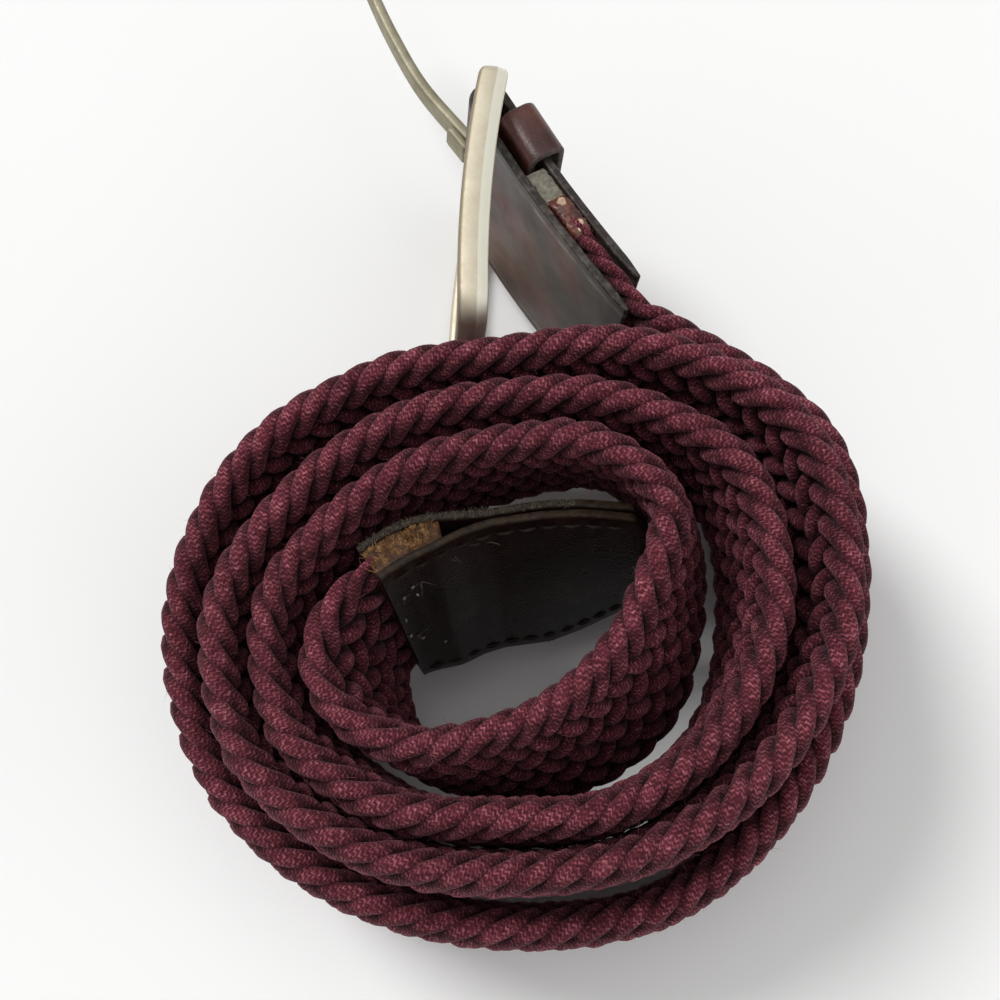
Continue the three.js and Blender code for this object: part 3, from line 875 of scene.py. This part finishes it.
def tab_gap_fibres():
    """Cut strand ends on the rim between the tab's leathers."""
    at = rng.uniform(*GAP_ROWS, GAP_COUNT)
    centre, width, outward, forward = strap_frame(at)
    room = between(ROOM, np.minimum(at, GAP_OPEN_ROW)) - GAP_MARGIN
    across = rng.uniform(-1, 1, GAP_COUNT) * room
    up = BRAID_WIDTH / 2 - GAP_INSET + rng.uniform(*GAP_DEPTHS, GAP_COUNT)
    roots = centre + width * up[:, None] + outward * across[:, None]
    lean = rng.normal(0, GAP_SPREAD, (GAP_COUNT, 1))
    rise, out, on = GAP_WAY
    ways = unit(width * rise + outward * out + forward * (on + lean))
    longest = room - across + GAP_PAST_LEATHER
    lengths = np.minimum(rng.uniform(*GAP_LENGTH, GAP_COUNT), longest)
    lengths = np.maximum(lengths, GAP_SHORTEST)
    return hair_tubes("tab_gap_fibres", roots, ways, lengths, **GAP_FIBRES)


def tab_gap_filler():
    """What fills the space between the tab's leathers."""
    at = np.linspace(*FILLER_ROWS, 24)
    half = BRAID_WIDTH / 2 - FILLER_INSET
    sections = []
    for room in between(ROOM, np.minimum(at, FILLER_OPEN_ROW)):
        thick = max(room - FILLER_MARGIN, FILLER_THINNEST)
        section = rounded_section(half, thick, FILLER_ROUND, 2, 30)
        noise = FILLER_ROUGHNESS * rng.normal(size=len(section))
        section[:, 0] += noise * (np.abs(section[:, 0]) > FILLER_RIM)
        sections.append(section)
    return strap_loft("tab_gap_filler", at, sections)


# Buckle leather
def billet_half(side, end, count, skive):
    """Middle line of one half, with its normal and share of the thickness."""
    share, span = skive
    d = np.array([*NECK_ROWS, *np.linspace(SLOT_LENGTH, end, count)])
    thick = np.minimum(1, share + (end - d) / span)
    return np.stack([-d, side * FOLD_RADIUS + billet_bow(d), 0 * d, side + 0 * d, thick], 1)


def billet_path():
    angle = np.linspace(0, math.pi, FOLD_ROWS)
    x, z = np.sin(angle), np.cos(angle)
    fold = np.stack([FOLD_RADIUS * x, FOLD_RADIUS * z, x, z, 1 + 0 * x], 1)
    front = billet_half(1, FRONT_LEATHER_END, FRONT_ROWS, FRONT_SKIVE)
    back = billet_half(-1, BACK_LEATHER_END, BACK_ROWS, BACK_SKIVE)
    return np.vstack([front[::-1], fold, back])


def billet_leather():
    path = billet_path()
    columns = np.concatenate([
        np.linspace(-LEATHER_WIDTH / 2, -SLOT_HALF_WIDTH, SIDE_COLUMNS),
        np.linspace(-SLOT_HALF_WIDTH, SLOT_HALF_WIDTH, SLOT_COLUMNS)[1:-1],
        np.linspace(SLOT_HALF_WIDTH, LEATHER_WIDTH / 2, SIDE_COLUMNS),
    ])
    rows, cols = len(path), len(columns)
    half = rows * cols
    slot_rows = range(FRONT_ROWS - 1, rows - BACK_ROWS)
    slot_columns = range(SIDE_COLUMNS - 1, cols - SIDE_COLUMNS)
    layers = []
    for side in (1, -1):
        off = side * path[:, 4] * LEATHER_THICKNESS / 2
        x = (path[:, 0] + off * path[:, 2])[:, None]
        z = (path[:, 1] + off * path[:, 3])[:, None]
        layers.append(at_bar(x, columns, z).reshape(-1, 3))

    def has(i, j):
        inside = 0 <= i < rows - 1 and 0 <= j < cols - 1
        return inside and not (i in slot_rows and j in slot_columns)

    quads = []
    for i, j in np.ndindex(rows - 1, cols - 1):
        if not has(i, j):
            continue
        p, q = i * cols + j, (i + 1) * cols + j
        r, s = q + 1, p + 1
        quads += [(p, q, r, s), (s + half, r + half, q + half, p + half)]
        beside = [(i - 1, j, s, p), (i + 1, j, q, r), (i, j - 1, p, q), (i, j + 1, r, s)]
        for row, column, a, b in beside:
            if not has(row, column):
                quads.append((a, a + half, b + half, b))
    rim = np.clip((np.abs(columns) - LEATHER_WIDTH / 2) / BILLET_RIM + 1, 0, 1)
    obj = build_mesh(
        "billet_folded_leather", np.vstack(layers), quads,
        attributes={"rim": np.tile(rim, 2 * rows)}, sharp=LEATHER_SHARP,
    )
    bevel = obj.modifiers.new("Rounded edges", "BEVEL")
    bevel.width = BILLET_ROUND * MM
    bevel.segments = 3
    bevel.limit_method = "ANGLE"
    bevel.angle_limit = math.radians(LEATHER_SHARP)
    return obj


def keeper_line():
    """Middle line of the keeper's strip round the strap end, with its normals."""
    half = LEATHER_WIDTH / 2 + KEEPER_SIDE_ROOM + KEEPER_THICKNESS / 2
    front = BAR_RADIUS + RUNNING_GAP + LEATHER_THICKNESS + KEEPER_ROOM + KEEPER_THICKNESS / 2
    run, high, low = half - KEEPER_CORNER, front - KEEPER_CORNER, KEEPER_CORNER
    corners = [(run, high), (-run, high), (-run, low), (run, low), (run, high)]
    line = []
    for quarter, (y, z) in enumerate(corners[:4]):
        for k in range(KEEPER_CORNER_STEPS + 1):
            angle = math.pi / 2 * (quarter + k / KEEPER_CORNER_STEPS)
            ny, nz = math.cos(angle), math.sin(angle)
            line.append((y + KEEPER_CORNER * ny, z + KEEPER_CORNER * nz, ny, nz))
        next_y, next_z = corners[quarter + 1]
        steps = KEEPER_SIDE_STEPS if quarter % 2 else KEEPER_RUN_STEPS
        for t in np.arange(1, steps) / steps:
            bulge = 0 if quarter else KEEPER_BULGE * math.sin(math.pi * t)
            line.append((
                y + (next_y - y) * t + KEEPER_CORNER * ny,
                z + (next_z - z) * t + KEEPER_CORNER * nz + bulge, ny, nz,
            ))
    return line


def keeper_loop():
    section = rounded_section(KEEPER_WIDTH / 2, KEEPER_THICKNESS / 2, KEEPER_ROUND, 4, 8)
    wide, deep = section.T
    middle = -(KEEPER_START + KEEPER_WIDTH / 2)
    rings = [
        at_bar(middle + wide, y + deep * ny, z + deep * nz) for y, z, ny, nz in keeper_line()
    ]
    rim = np.abs(wide) > KEEPER_WIDTH / 2 - KEEPER_RIM
    rims = np.tile(rim, len(rings)).astype(float)
    return loft("keeper_leather", rings, closed=True, attributes={"rim": rims})


# Packing and glue
def billet_filling():
    section = rounded_section(
        LEATHER_WIDTH / 2 - BOARD_INSET, BOARD_HALF_THICKNESS, BOARD_ROUND, 3, 40,
    )
    rings = []
    for k, v in enumerate(np.linspace(0, PACKING_END - PACKING_START, BOARD_ROWS)):
        d = PACKING_END - v
        wide, deep = section.T * (BOARD_END_SIZE if k in (0, BOARD_ROWS - 1) else 1.0)
        dx, dy, dz = BOARD_ROUGHNESS * rng.normal(size=(len(section), 3)).T
        rings.append(at_bar(-d + dx, wide + dy, deep + billet_bow(d) + dz))
    return loft("billet_board", rings)


def glue_run(name, edge):
    along = np.linspace(GLUE_START, GLUE_END, GLUE_ROWS)
    lump = 1 + sway(GLUE_SWELL, along) + GLUE_ROUGHNESS * rng.normal(size=GLUE_ROWS)
    from_end = np.minimum(along - GLUE_START, GLUE_END - along)
    taper = np.clip(from_end / GLUE_TAPER, 0.05, 1) ** 0.5
    rings = []
    for d, size in zip(along, lump * taper):
        section = rounded_section(GLUE_HALF_WIDTH * size, GLUE_HALF_THICKNESS, GLUE_ROUND, 4, 6)
        wide, deep = section.T * (1 + GLUE_ROUGHNESS * rng.normal(size=len(section)))
        rings.append(at_bar(-d, edge * GLUE_PLACE + wide, deep + billet_bow(d)))
    return loft(name, rings)


def glue_spots():
    polar = np.linspace(LUMP_POLE, math.pi - LUMP_POLE, LUMP_RINGS)[:, None]
    turn = round_angles(LUMP_SIDES)
    ball = np.broadcast_arrays(
        np.sin(polar) * np.cos(turn), np.sin(polar) * np.sin(turn), np.cos(polar),
    )
    pieces = []
    for number, (d, y, z, *half) in enumerate(GLUE_SPOTS):
        lump = 1 + LUMP_ROUGHNESS * rng.normal(size=(LUMP_RINGS, LUMP_SIDES))
        lump = (lump + np.roll(lump, 1, 1) + np.roll(lump, -1, 1)) / 3
        dx, dy, dz = (axis * lump * size for axis, size in zip(ball, half))
        pieces.append(loft(f"glue_{number}", at_bar(-d + dx, y + dy, z + billet_bow(d) + dz)))
    return join("billet_glue", pieces)


# Metal
def frame_line():
    """Middle line of the rail, its sideways direction and share of the size."""
    rail_y = FRAME_HALF_WIDTH - RAIL_WIDTH / 2
    end_x = FRAME_REACH - RAIL_WIDTH / 2
    bend = FRAME_CORNER - RAIL_WIDTH / 2
    line = [(along - RAIL_HEEL, rail_y, 1.0, 0.0, size) for along, size in HEEL_RUN]
    line += [(x, rail_y, 1.0, 0.0, 1.0) for x in np.linspace(0, end_x - bend - 1, 22)]
    for angle in np.linspace(math.pi / 2, 0, 15):
        dx, dy = math.sin(angle), -math.cos(angle)
        line.append((end_x - bend - bend * dy, rail_y - bend + bend * dx, dx, dy, 1.0))
    mirrored = [(x, -y, -dx, dy, size) for x, y, dx, dy, size in line][::-1]
    across = [(end_x, y, 0.0, -1.0, 1.0) for y in np.linspace(rail_y - bend, bend - rail_y, 14)]
    return line + across[1:-1] + mirrored


def buckle_frame():
    middle = (FRAME_REACH - RAIL_WIDTH) / 2
    wide, deep = RAIL_SECTION.T
    cos, sin = math.cos(FOLDED_BACK), math.sin(FOLDED_BACK)
    rings = []
    for x, y, dx, dy, size in frame_line():
        bow = FRAME_BOW * (1 - ((x - middle) / middle) ** 2)
        along = x - wide * size * dy
        depth = bow + deep * size
        rings.append(at_bar(
            along * cos + depth * sin, y + wide * size * dx, depth * cos - along * sin,
        ))
    # Masks for the bevel's painted highlight and the arris's painted shade
    tones = {
        "bevel": np.tile(BEVEL_HIGHLIGHT_POINTS, len(rings)).astype(float),
        "arris_shade": np.tile(ARRIS_SHADE_POINTS, len(rings)).astype(float),
    }
    rail = loft("frame_rail", rings, attributes=tones, sharp=RAIL_SHARP)
    angle = round_angles(40)
    reach = FRAME_HALF_WIDTH - RAIL_WIDTH / 2
    bar = [
        at_bar(BAR_RADIUS * np.cos(angle), y, BAR_RADIUS * np.sin(angle))
        for y in np.linspace(-reach, reach, 12)
    ]
    return join("frame_metal", [rail, loft("frame_bar", bar, sharp=LEATHER_SHARP)])


def prong_blade():
    along = np.linspace(PRONG_BEND[0, 0], PRONG_BEND[-1, 0], 60)
    along[-2] = PRONG_BEND[-1, 0] - 0.25
    across, width, thick = smooth_columns(PRONG_BEND, along)
    rings = []
    for a, c, w, t, slope in zip(along, across, width, thick, np.gradient(across, along)):
        half_width, half_thickness = w * PRONG_WIDTH / 2, t * PRONG_THICKNESS / 2
        wide, deep = rounded_section(half_width, half_thickness, t * PRONG_ROUND, 4).T
        tilt = math.hypot(1, slope)
        rings.append(at_bar(a - deep * slope / tilt, wide, c + deep / tilt))
    return loft("prong_blade", rings, sharp=PRONG_SHARP)


def buckle_prong():
    radius = BAR_RADIUS + RUNNING_GAP + CURL_WALL / 2
    wide, deep = rounded_section(PRONG_WIDTH / 2, CURL_WALL / 2, CURL_ROUND, 4).T
    curl = []
    for turn in np.linspace(CURL_FROM, CURL_TO, 44):
        curl.append(at_bar(math.cos(turn) * (radius + deep), wide, math.sin(turn) * (radius + deep)))
    x, z = TAIL_START
    for step in TAIL_STEPS:
        size = TAIL_END_SIZE if step == TAIL_STEPS[-1] else 1.0
        curl.append(at_bar(x + step, wide * size, z - TAIL_SLOPE * step + deep * size))
    return join("prong_metal", [prong_blade(), loft("prong_curl", curl, sharp=PRONG_SHARP)])


# Materials
class Nodes:
    """Short calls for the nodes of a tree."""

    def __init__(self, tree):
        self.tree = tree

    def node(self, kind, inputs=None, **settings):
        node = self.tree.nodes.new("ShaderNode" + kind)
        for key, value in settings.items():
            setattr(node, key, value)
        for key, value in (inputs or {}).items():
            self.put(value, node.inputs[key])
        return node

    def put(self, value, socket):
        if isinstance(value, bpy.types.NodeSocket):
            self.tree.links.new(value, socket)
        else:
            socket.default_value = value


class Look(Nodes):
    """A material with one Principled shader."""

    def __init__(self, name, **values):
        self.material = bpy.data.materials.new(name)
        self.material.use_nodes = True
        super().__init__(self.material.node_tree)
        self.tree.nodes.clear()
        self.shader = self.node("BsdfPrincipled")
        self.node("OutputMaterial", {"Surface": self.shader.outputs[0]})
        self.place = self.node("TexCoord").outputs["Object"]
        self.set(**values)

    def set(self, **sockets):
        for key, value in sockets.items():
            self.put(value, self.shader.inputs[key.replace("_", " ")])
        return self.material

    def math(self, operation, *values):
        node = self.node("Math", dict(enumerate(values)), operation=operation)
        return node.outputs[0]

    def times(self, first, second):
        return self.math("MULTIPLY", first, second)

    def plus(self, first, second):
        return self.math("ADD", first, second)

    def from_middle(self, value, middle):
        return self.math("ABSOLUTE", self.math("SUBTRACT", value, middle))

    def noise(self, scale, detail=4.0, roughness=0.55, distortion=0.0):
        return self.node("TexNoise", {
            "Vector": self.place, "Scale": scale, "Detail": detail,
            "Roughness": roughness, "Distortion": distortion,
        }).outputs["Fac"]

    def cells(self, scale):
        inputs = {"Vector": self.place, "Scale": scale}
        node = self.node("TexVoronoi", inputs, feature="DISTANCE_TO_EDGE")
        return node.outputs["Distance"]

    def attribute(self, name):
        return self.node("Attribute", attribute_name=name).outputs["Fac"]

    def ramp(self, factor, stops):
        node = self.node("ValToRGB", {"Fac": factor})
        elements = node.color_ramp.elements
        while len(elements) < len(stops):
            elements.new(0.5)
        for element, (position, *colour) in zip(elements, stops):
            element.position = position
            element.color = (*colour, 1.0)
        return node.outputs["Color"]

    def range(self, value, low, high, to_low, to_high):
        return self.node("MapRange", {
            "Value": value, "From Min": low, "From Max": high,
            "To Min": to_low, "To Max": to_high,
        }).outputs["Result"]

    def mix(self, factor, first, second, blend="MIX"):
        first, second = ((*v, 1.0) if isinstance(v, tuple) else v for v in (first, second))
        node = self.node(
            "Mix", {0: factor, 6: first, 7: second}, data_type="RGBA", blend_type=blend,
        )
        return node.outputs[2]

    def bump(self, height, distance, strength=1.0):
        return self.node("Bump", {
            "Height": height, "Distance": distance * MM, "Strength": strength,
        }).outputs["Normal"]

    def grain(self, cell_scale, fine_scale):
        """Small cells with soft creases, and fine pores."""
        cells = self.math("SMOOTH_MIN", self.cells(cell_scale), 0.25, 0.1)
        return self.plus(self.times(cells, 2.4), self.times(self.noise(fine_scale, 6), 0.8))


def braid_look():
    """Knitted stitches that break and wander, with painted light on the knit's crests and painted
    shade in its grooves and where the cord lies deep.
    """
    look = Look(
        "braided_cord", Roughness=0.88, Sheen_Weight=0.20, Sheen_Roughness=0.4,
        Sheen_Tint=(0.80, 0.40, 0.48, 1.0), Specular_IOR_Level=0.18,
    )
    place = look.node("UVMap", uv_map="UVMap").outputs[0]
    around, along, _ = look.node("SeparateXYZ", {"Vector": place}).outputs
    wander = look.times(look.math("SUBTRACT", look.noise(1100), 0.5), 0.62)
    column = look.math("FRACT", look.times(around, KNIT_COLUMNS))
    slant = look.times(look.from_middle(column, 0.5), 2 * KNIT_RISE)
    shifted = look.plus(look.plus(along, slant), wander)
    wave = look.math("SINE", look.times(shifted, 2 * math.pi / RIB_PITCH))
    rib = look.math("MULTIPLY_ADD", wave, 0.5, 0.5)
    rib = look.times(rib, look.range(look.noise(1700, 3), 0.35, 0.65, 0.15, 1.0))
    height = look.plus(look.noise(3800, 4, 0.65), rib)
    # The rib share lightens the knit's crests and darkens its grooves: painted light and shade
    tone_and_rib_shade = look.plus(look.times(look.noise(2600, 3, 0.6), 0.26), look.times(rib, 0.24))
    tone_and_rib_shade = look.plus(look.times(look.noise(420, 5, 0.6), 0.32), tone_and_rib_shade)
    patches = look.range(look.noise(55, 3), 0.3, 0.7, 0.85, 1.12)
    # Painted shade: the cord darkens where it lies deep, away from the strap's rim and the tops of
    # the strands
    deep = look.range(look.attribute("openness"), 0.0, 1.0, 0.17, 1.0)
    strength = look.times(patches, deep)
    tone_and_painted_shade = look.node("CombineXYZ", {0: strength, 1: strength, 2: strength}).outputs[0]
    colour = look.mix(1.0, look.ramp(tone_and_rib_shade, CORD_TONES), tone_and_painted_shade, "MULTIPLY")
    return look.set(Base_Color=colour, Normal=look.bump(height, 0.16, 0.75))


def mottled_look(name, tones, colour_noise, relief_noise, relief, **values):
    """One noise for the colour, and another for the relief."""
    look = Look(name, **values)
    colour = look.ramp(look.noise(*colour_noise), tones)
    return look.set(Base_Color=colour, Normal=look.bump(look.noise(*relief_noise), *relief))


def thread_look(name, tones):
    return mottled_look(
        name, tones, (1800, 4), (5200, 2), (0.05, 0.8), Roughness=0.75, Specular_IOR_Level=0.25,
    )


def glue_look(name, tones):
    return mottled_look(
        name, tones, (520, 5, 0.6), (1500, 4), (0.12,), Roughness=0.34, Coat_Weight=0.3,
        Subsurface_Weight=0.1, Subsurface_Radius=(0.0012, 0.0006, 0.0004),
    )


def gap_look(name, tones):
    return mottled_look(
        name, tones, (1100, 6, 0.65), (3600, 5), (0.1,), Roughness=0.6, Specular_IOR_Level=0.3,
    )


def fuzz_look():
    look = Look("loose_fibres", Roughness=0.8, Sheen_Weight=0.3)
    return look.set(Base_Color=look.ramp(look.noise(600), FUZZ_TONES))


def dark_leather(name, face, face_light, rim_dark, rim_light, roughness, shine):
    look = Look(name, Specular_IOR_Level=shine)
    rim = look.attribute("rim")
    colour = look.ramp(look.noise(120, 6, 0.6), ((0.35, *face), (0.72, *face_light)))
    streaks = look.ramp(look.noise(1400, 5), ((0.35, *rim_dark), (0.7, *rim_light)))
    gloss = look.range(look.noise(260, 5), 0.3, 0.7, roughness - 0.07, roughness + 0.09)
    return look.set(
        Base_Color=look.mix(rim, colour, streaks),
        Roughness=look.math("MULTIPLY_ADD", rim, 0.3, gloss),
        Normal=look.bump(look.grain(1500, 3500), 0.045, 0.5),
    )


def billet_look():
    """Taupe-brown leather with reddish patches and a dark edge, with painted highlights: pale
    streaks on the edge and a pale line beside it.
    """
    look = Look("buckle_leather", Specular_IOR_Level=0.34)
    rim = look.attribute("rim")
    colour = look.ramp(look.noise(70, 5, 0.6), TAUPE)
    patches = look.range(look.noise(48, 3, 0.5, 0.8), 0.50, 0.66, 0.0, 1.0)
    colour = look.mix(patches, colour, REDDISH_PATCH)
    colour = look.mix(look.times(rim, 0.85), colour, DARK_EDGE)
    # Painted highlight: pale streaks along the edge
    streak_highlight = look.times(look.range(look.noise(900, 6, 0.62), 0.46, 0.70, 0.0, 0.55), rim)
    colour = look.mix(streak_highlight, colour, EDGE_STREAK_HIGHLIGHT)
    # Painted highlight: a pale line beside the edge
    line = look.range(look.from_middle(rim, HIGHLIGHT_LINE_PLACE), 0.0, HIGHLIGHT_LINE_PLACE, 1.0, 0.0)
    line = look.times(line, look.range(look.noise(260, 5, 0.6), 0.38, 0.62, 0.10, 0.75))
    return look.set(
        Base_Color=look.mix(line, colour, HIGHLIGHT_LINE_TONE),
        Roughness=look.range(look.noise(200, 5), 0.3, 0.7, 0.34, 0.52),
        Normal=look.bump(look.grain(1300, 3200), 0.05, 0.5),
    )


def metal_look(name, dark, light, stain, bevel, arris_shade, roughness, stain_share):
    look = Look(name, Metallic=1.0)
    colour = look.ramp(look.noise(260, 7, 0.65), ((0.30, *dark), (0.72, *light)))
    # Painted highlight: the bevel is coloured lighter, as where light falls on it
    colour = look.mix(look.attribute("bevel"), colour, bevel)
    # Painted shade: the arris is coloured darker, as where it turns from the light
    colour = look.mix(look.attribute("arris_shade"), colour, arris_shade)
    spots = look.range(look.noise(95, 6, 0.6, 0.6), 1 - stain_share, 1.08 - stain_share, 0, 1)
    fine = look.noise(2600, 8, 0.7)
    gloss = look.range(fine, 0.3, 0.7, roughness - 0.06, roughness + 0.10)
    pits = look.plus(look.times(fine, 0.6), look.noise(700, 3))
    return look.set(
        Base_Color=look.mix(look.times(spots, 0.75), colour, stain),
        Roughness=look.plus(gloss, look.times(spots, 0.12)),
        Normal=look.bump(pits, 0.03, 0.35),
    )


def dress(obj, material, slot_name, *nodes, body="strap"):
    obj.data.materials.clear()
    obj.data.materials.append(material)
    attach(obj, body)
    if nodes:
        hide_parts(*nodes)


# Pieces of the braid
cord = braid_look()
for first in range(0, STRANDS, STRANDS_PER_PIECE):
    group = range(first, min(first + STRANDS_PER_PIECE, STRANDS))
    piece = braid_piece(f"braid_strands_{first // STRANDS_PER_PIECE + 1}", group)
    dress(piece, cord, "braid", "braid_strap")
# The core's near-black colour is painted shade inside the braid
core_shade_look = mottled_look("braid_inside_shade", CORE_SHADE_TONES, (900,), (2500,), (0.1,), Roughness=0.95)
dress(braid_core(), core_shade_look, "braid")
dress(braid_fuzz(), fuzz_look(), "braid")

# Leathers, packing, glue and threads
tab_look = dark_leather(
    "tab_leather", (0.0075, 0.0036, 0.0033), (0.02, 0.009, 0.0072),
    (0.0052, 0.0026, 0.0011), (0.03, 0.0155, 0.0055), 0.27, 0.2,
)
keeper_look = dark_leather(
    "keeper_leather", (0.026, 0.011, 0.0092), (0.108, 0.035, 0.0265),
    (0.028, 0.02, 0.017), (0.12, 0.085, 0.072), 0.36, 0.5,
)
board_look = mottled_look(
    "fibre_board", BOARD_TONES, (800, 8, 0.7), (2400, 8, 0.7), (0.14,), Roughness=0.92,
)
red_glue = glue_look("red_glue", RED_GLUE)
dark_thread = thread_look("dark_thread", DARK_THREAD)
pale_thread = thread_look("pale_thread", PALE_THREAD)
dress(tab_leather("tab_front_leather", -1), tab_look, "leather", "tab_inner_leather")
dress(tab_leather("tab_back_leather", 1), tab_look, "leather", "tab_outer_leather")
dress(billet_leather(), billet_look(), "leather", "billet_leather")
dress(keeper_loop(), keeper_look, "leather", "keeper_loop")
dress(billet_filling(), board_look, "packing", "billet_packing")
dress(glue_spots(), glue_look("pale_glue", PALE_GLUE), "packing")
dress(glue_run("glue_run_upper", 1), red_glue, "packing")
dress(glue_run("glue_run_lower", -1), red_glue, "packing")
dress(tab_stitches(), dark_thread, "leather")
dress(billet_stitches(), dark_thread, "leather")
dress(worn_threads(), pale_thread, "leather")
dress(loose_threads(), pale_thread, "leather")
dress(tab_edge_fuzz(), thread_look("grey_fibres", GREY_FIBRES), "leather")
dress(tab_gap_fibres(), gap_look("cut_strand_ends", CUT_ENDS), "packing")
dress(tab_gap_filler(), gap_look("gap_filler", GAP_TONES), "packing")

# Frame and prong
# The fourth and fifth colours of each metal are a painted highlight on the bevel and painted shade
# on the arris
satin_nickel = metal_look(
    "satin_nickel", (0.62, 0.555, 0.43), (0.73, 0.675, 0.55), (0.50, 0.44, 0.335),
    (0.93, 0.91, 0.79), (0.34, 0.29, 0.21), roughness=0.60, stain_share=0.30,
)
antique_nickel = metal_look(
    "antique_nickel", (0.26, 0.235, 0.160), (0.44, 0.405, 0.305), (0.16, 0.138, 0.085),
    (0.50, 0.46, 0.42), (0.30, 0.27, 0.19), roughness=0.58, stain_share=0.38,
)
dress(buckle_frame(), satin_nickel, "nickel", "buckle_frame", body="frame")
dress(buckle_prong(), antique_nickel, "aged_nickel", "buckle_prong", body="prong")


# Floor, light and camera
def add_floor():
    count = FLOOR_CELLS + 1
    grid = np.linspace(-FLOOR_HALF, FLOOR_HALF, count)
    points = [(x, y, 0.0) for x in grid for y in grid]
    corners = [i * count + j for i in range(FLOOR_CELLS) for j in range(FLOOR_CELLS)]
    data = bpy.data.meshes.new("floor")
    data.from_pydata(points, [], [(k, k + count, k + count + 1, k + 1) for k in corners])
    look = Look("pale_floor", Roughness=0.9, Specular_IOR_Level=0.1)
    data.materials.append(look.set(Base_Color=look.ramp(look.noise(6.0, 2), FLOOR_TONES)))
    floor = add_object("floor", data)


def add_lights():
    for name, way, width, strength in LIGHTS:
        data = bpy.data.lights.new(name, "SUN")
        data.energy = strength
        data.angle = math.radians(width)
        back = unit(np.array(way))
        right = unit(np.cross([0.0, 1.0, 0.0], back))
        add_object(name, data, (right, np.cross(back, right), back))


def add_world():
    world = bpy.data.worlds.new("studio")
    world.use_nodes = True
    nodes = Nodes(world.node_tree)
    way = nodes.node("TexCoord").outputs["Generated"]
    height = nodes.node("SeparateXYZ", {0: way}).outputs["Z"]
    ends = {"Value": height, "From Max": HORIZON_HEIGHT, "To Min": HORIZON, "To Max": ZENITH}
    rise = nodes.node("MapRange", ends, interpolation_type="SMOOTHSTEP")
    background = world.node_tree.nodes["Background"]
    nodes.put(rise.outputs["Result"], background.inputs["Strength"])
    nodes.put((1.0, 1.0, 1.0, 1.0), background.inputs["Color"])
    bpy.context.scene.world = world
    bpy.context.scene.view_settings.view_transform = "Standard"


def add_camera():
    data = bpy.data.cameras.new("camera")
    data.lens = CAMERA_LENS
    data.sensor_width = CAMERA_SENSOR
    data.clip_start, data.clip_end = CAMERA_REACH
    place = (COIL_MIDDLE + CAMERA_PLACE) * MM
    bpy.context.scene.camera = add_object("camera", data, CAMERA_AXES, place)


add_floor()
add_lights()
add_world()
add_camera()
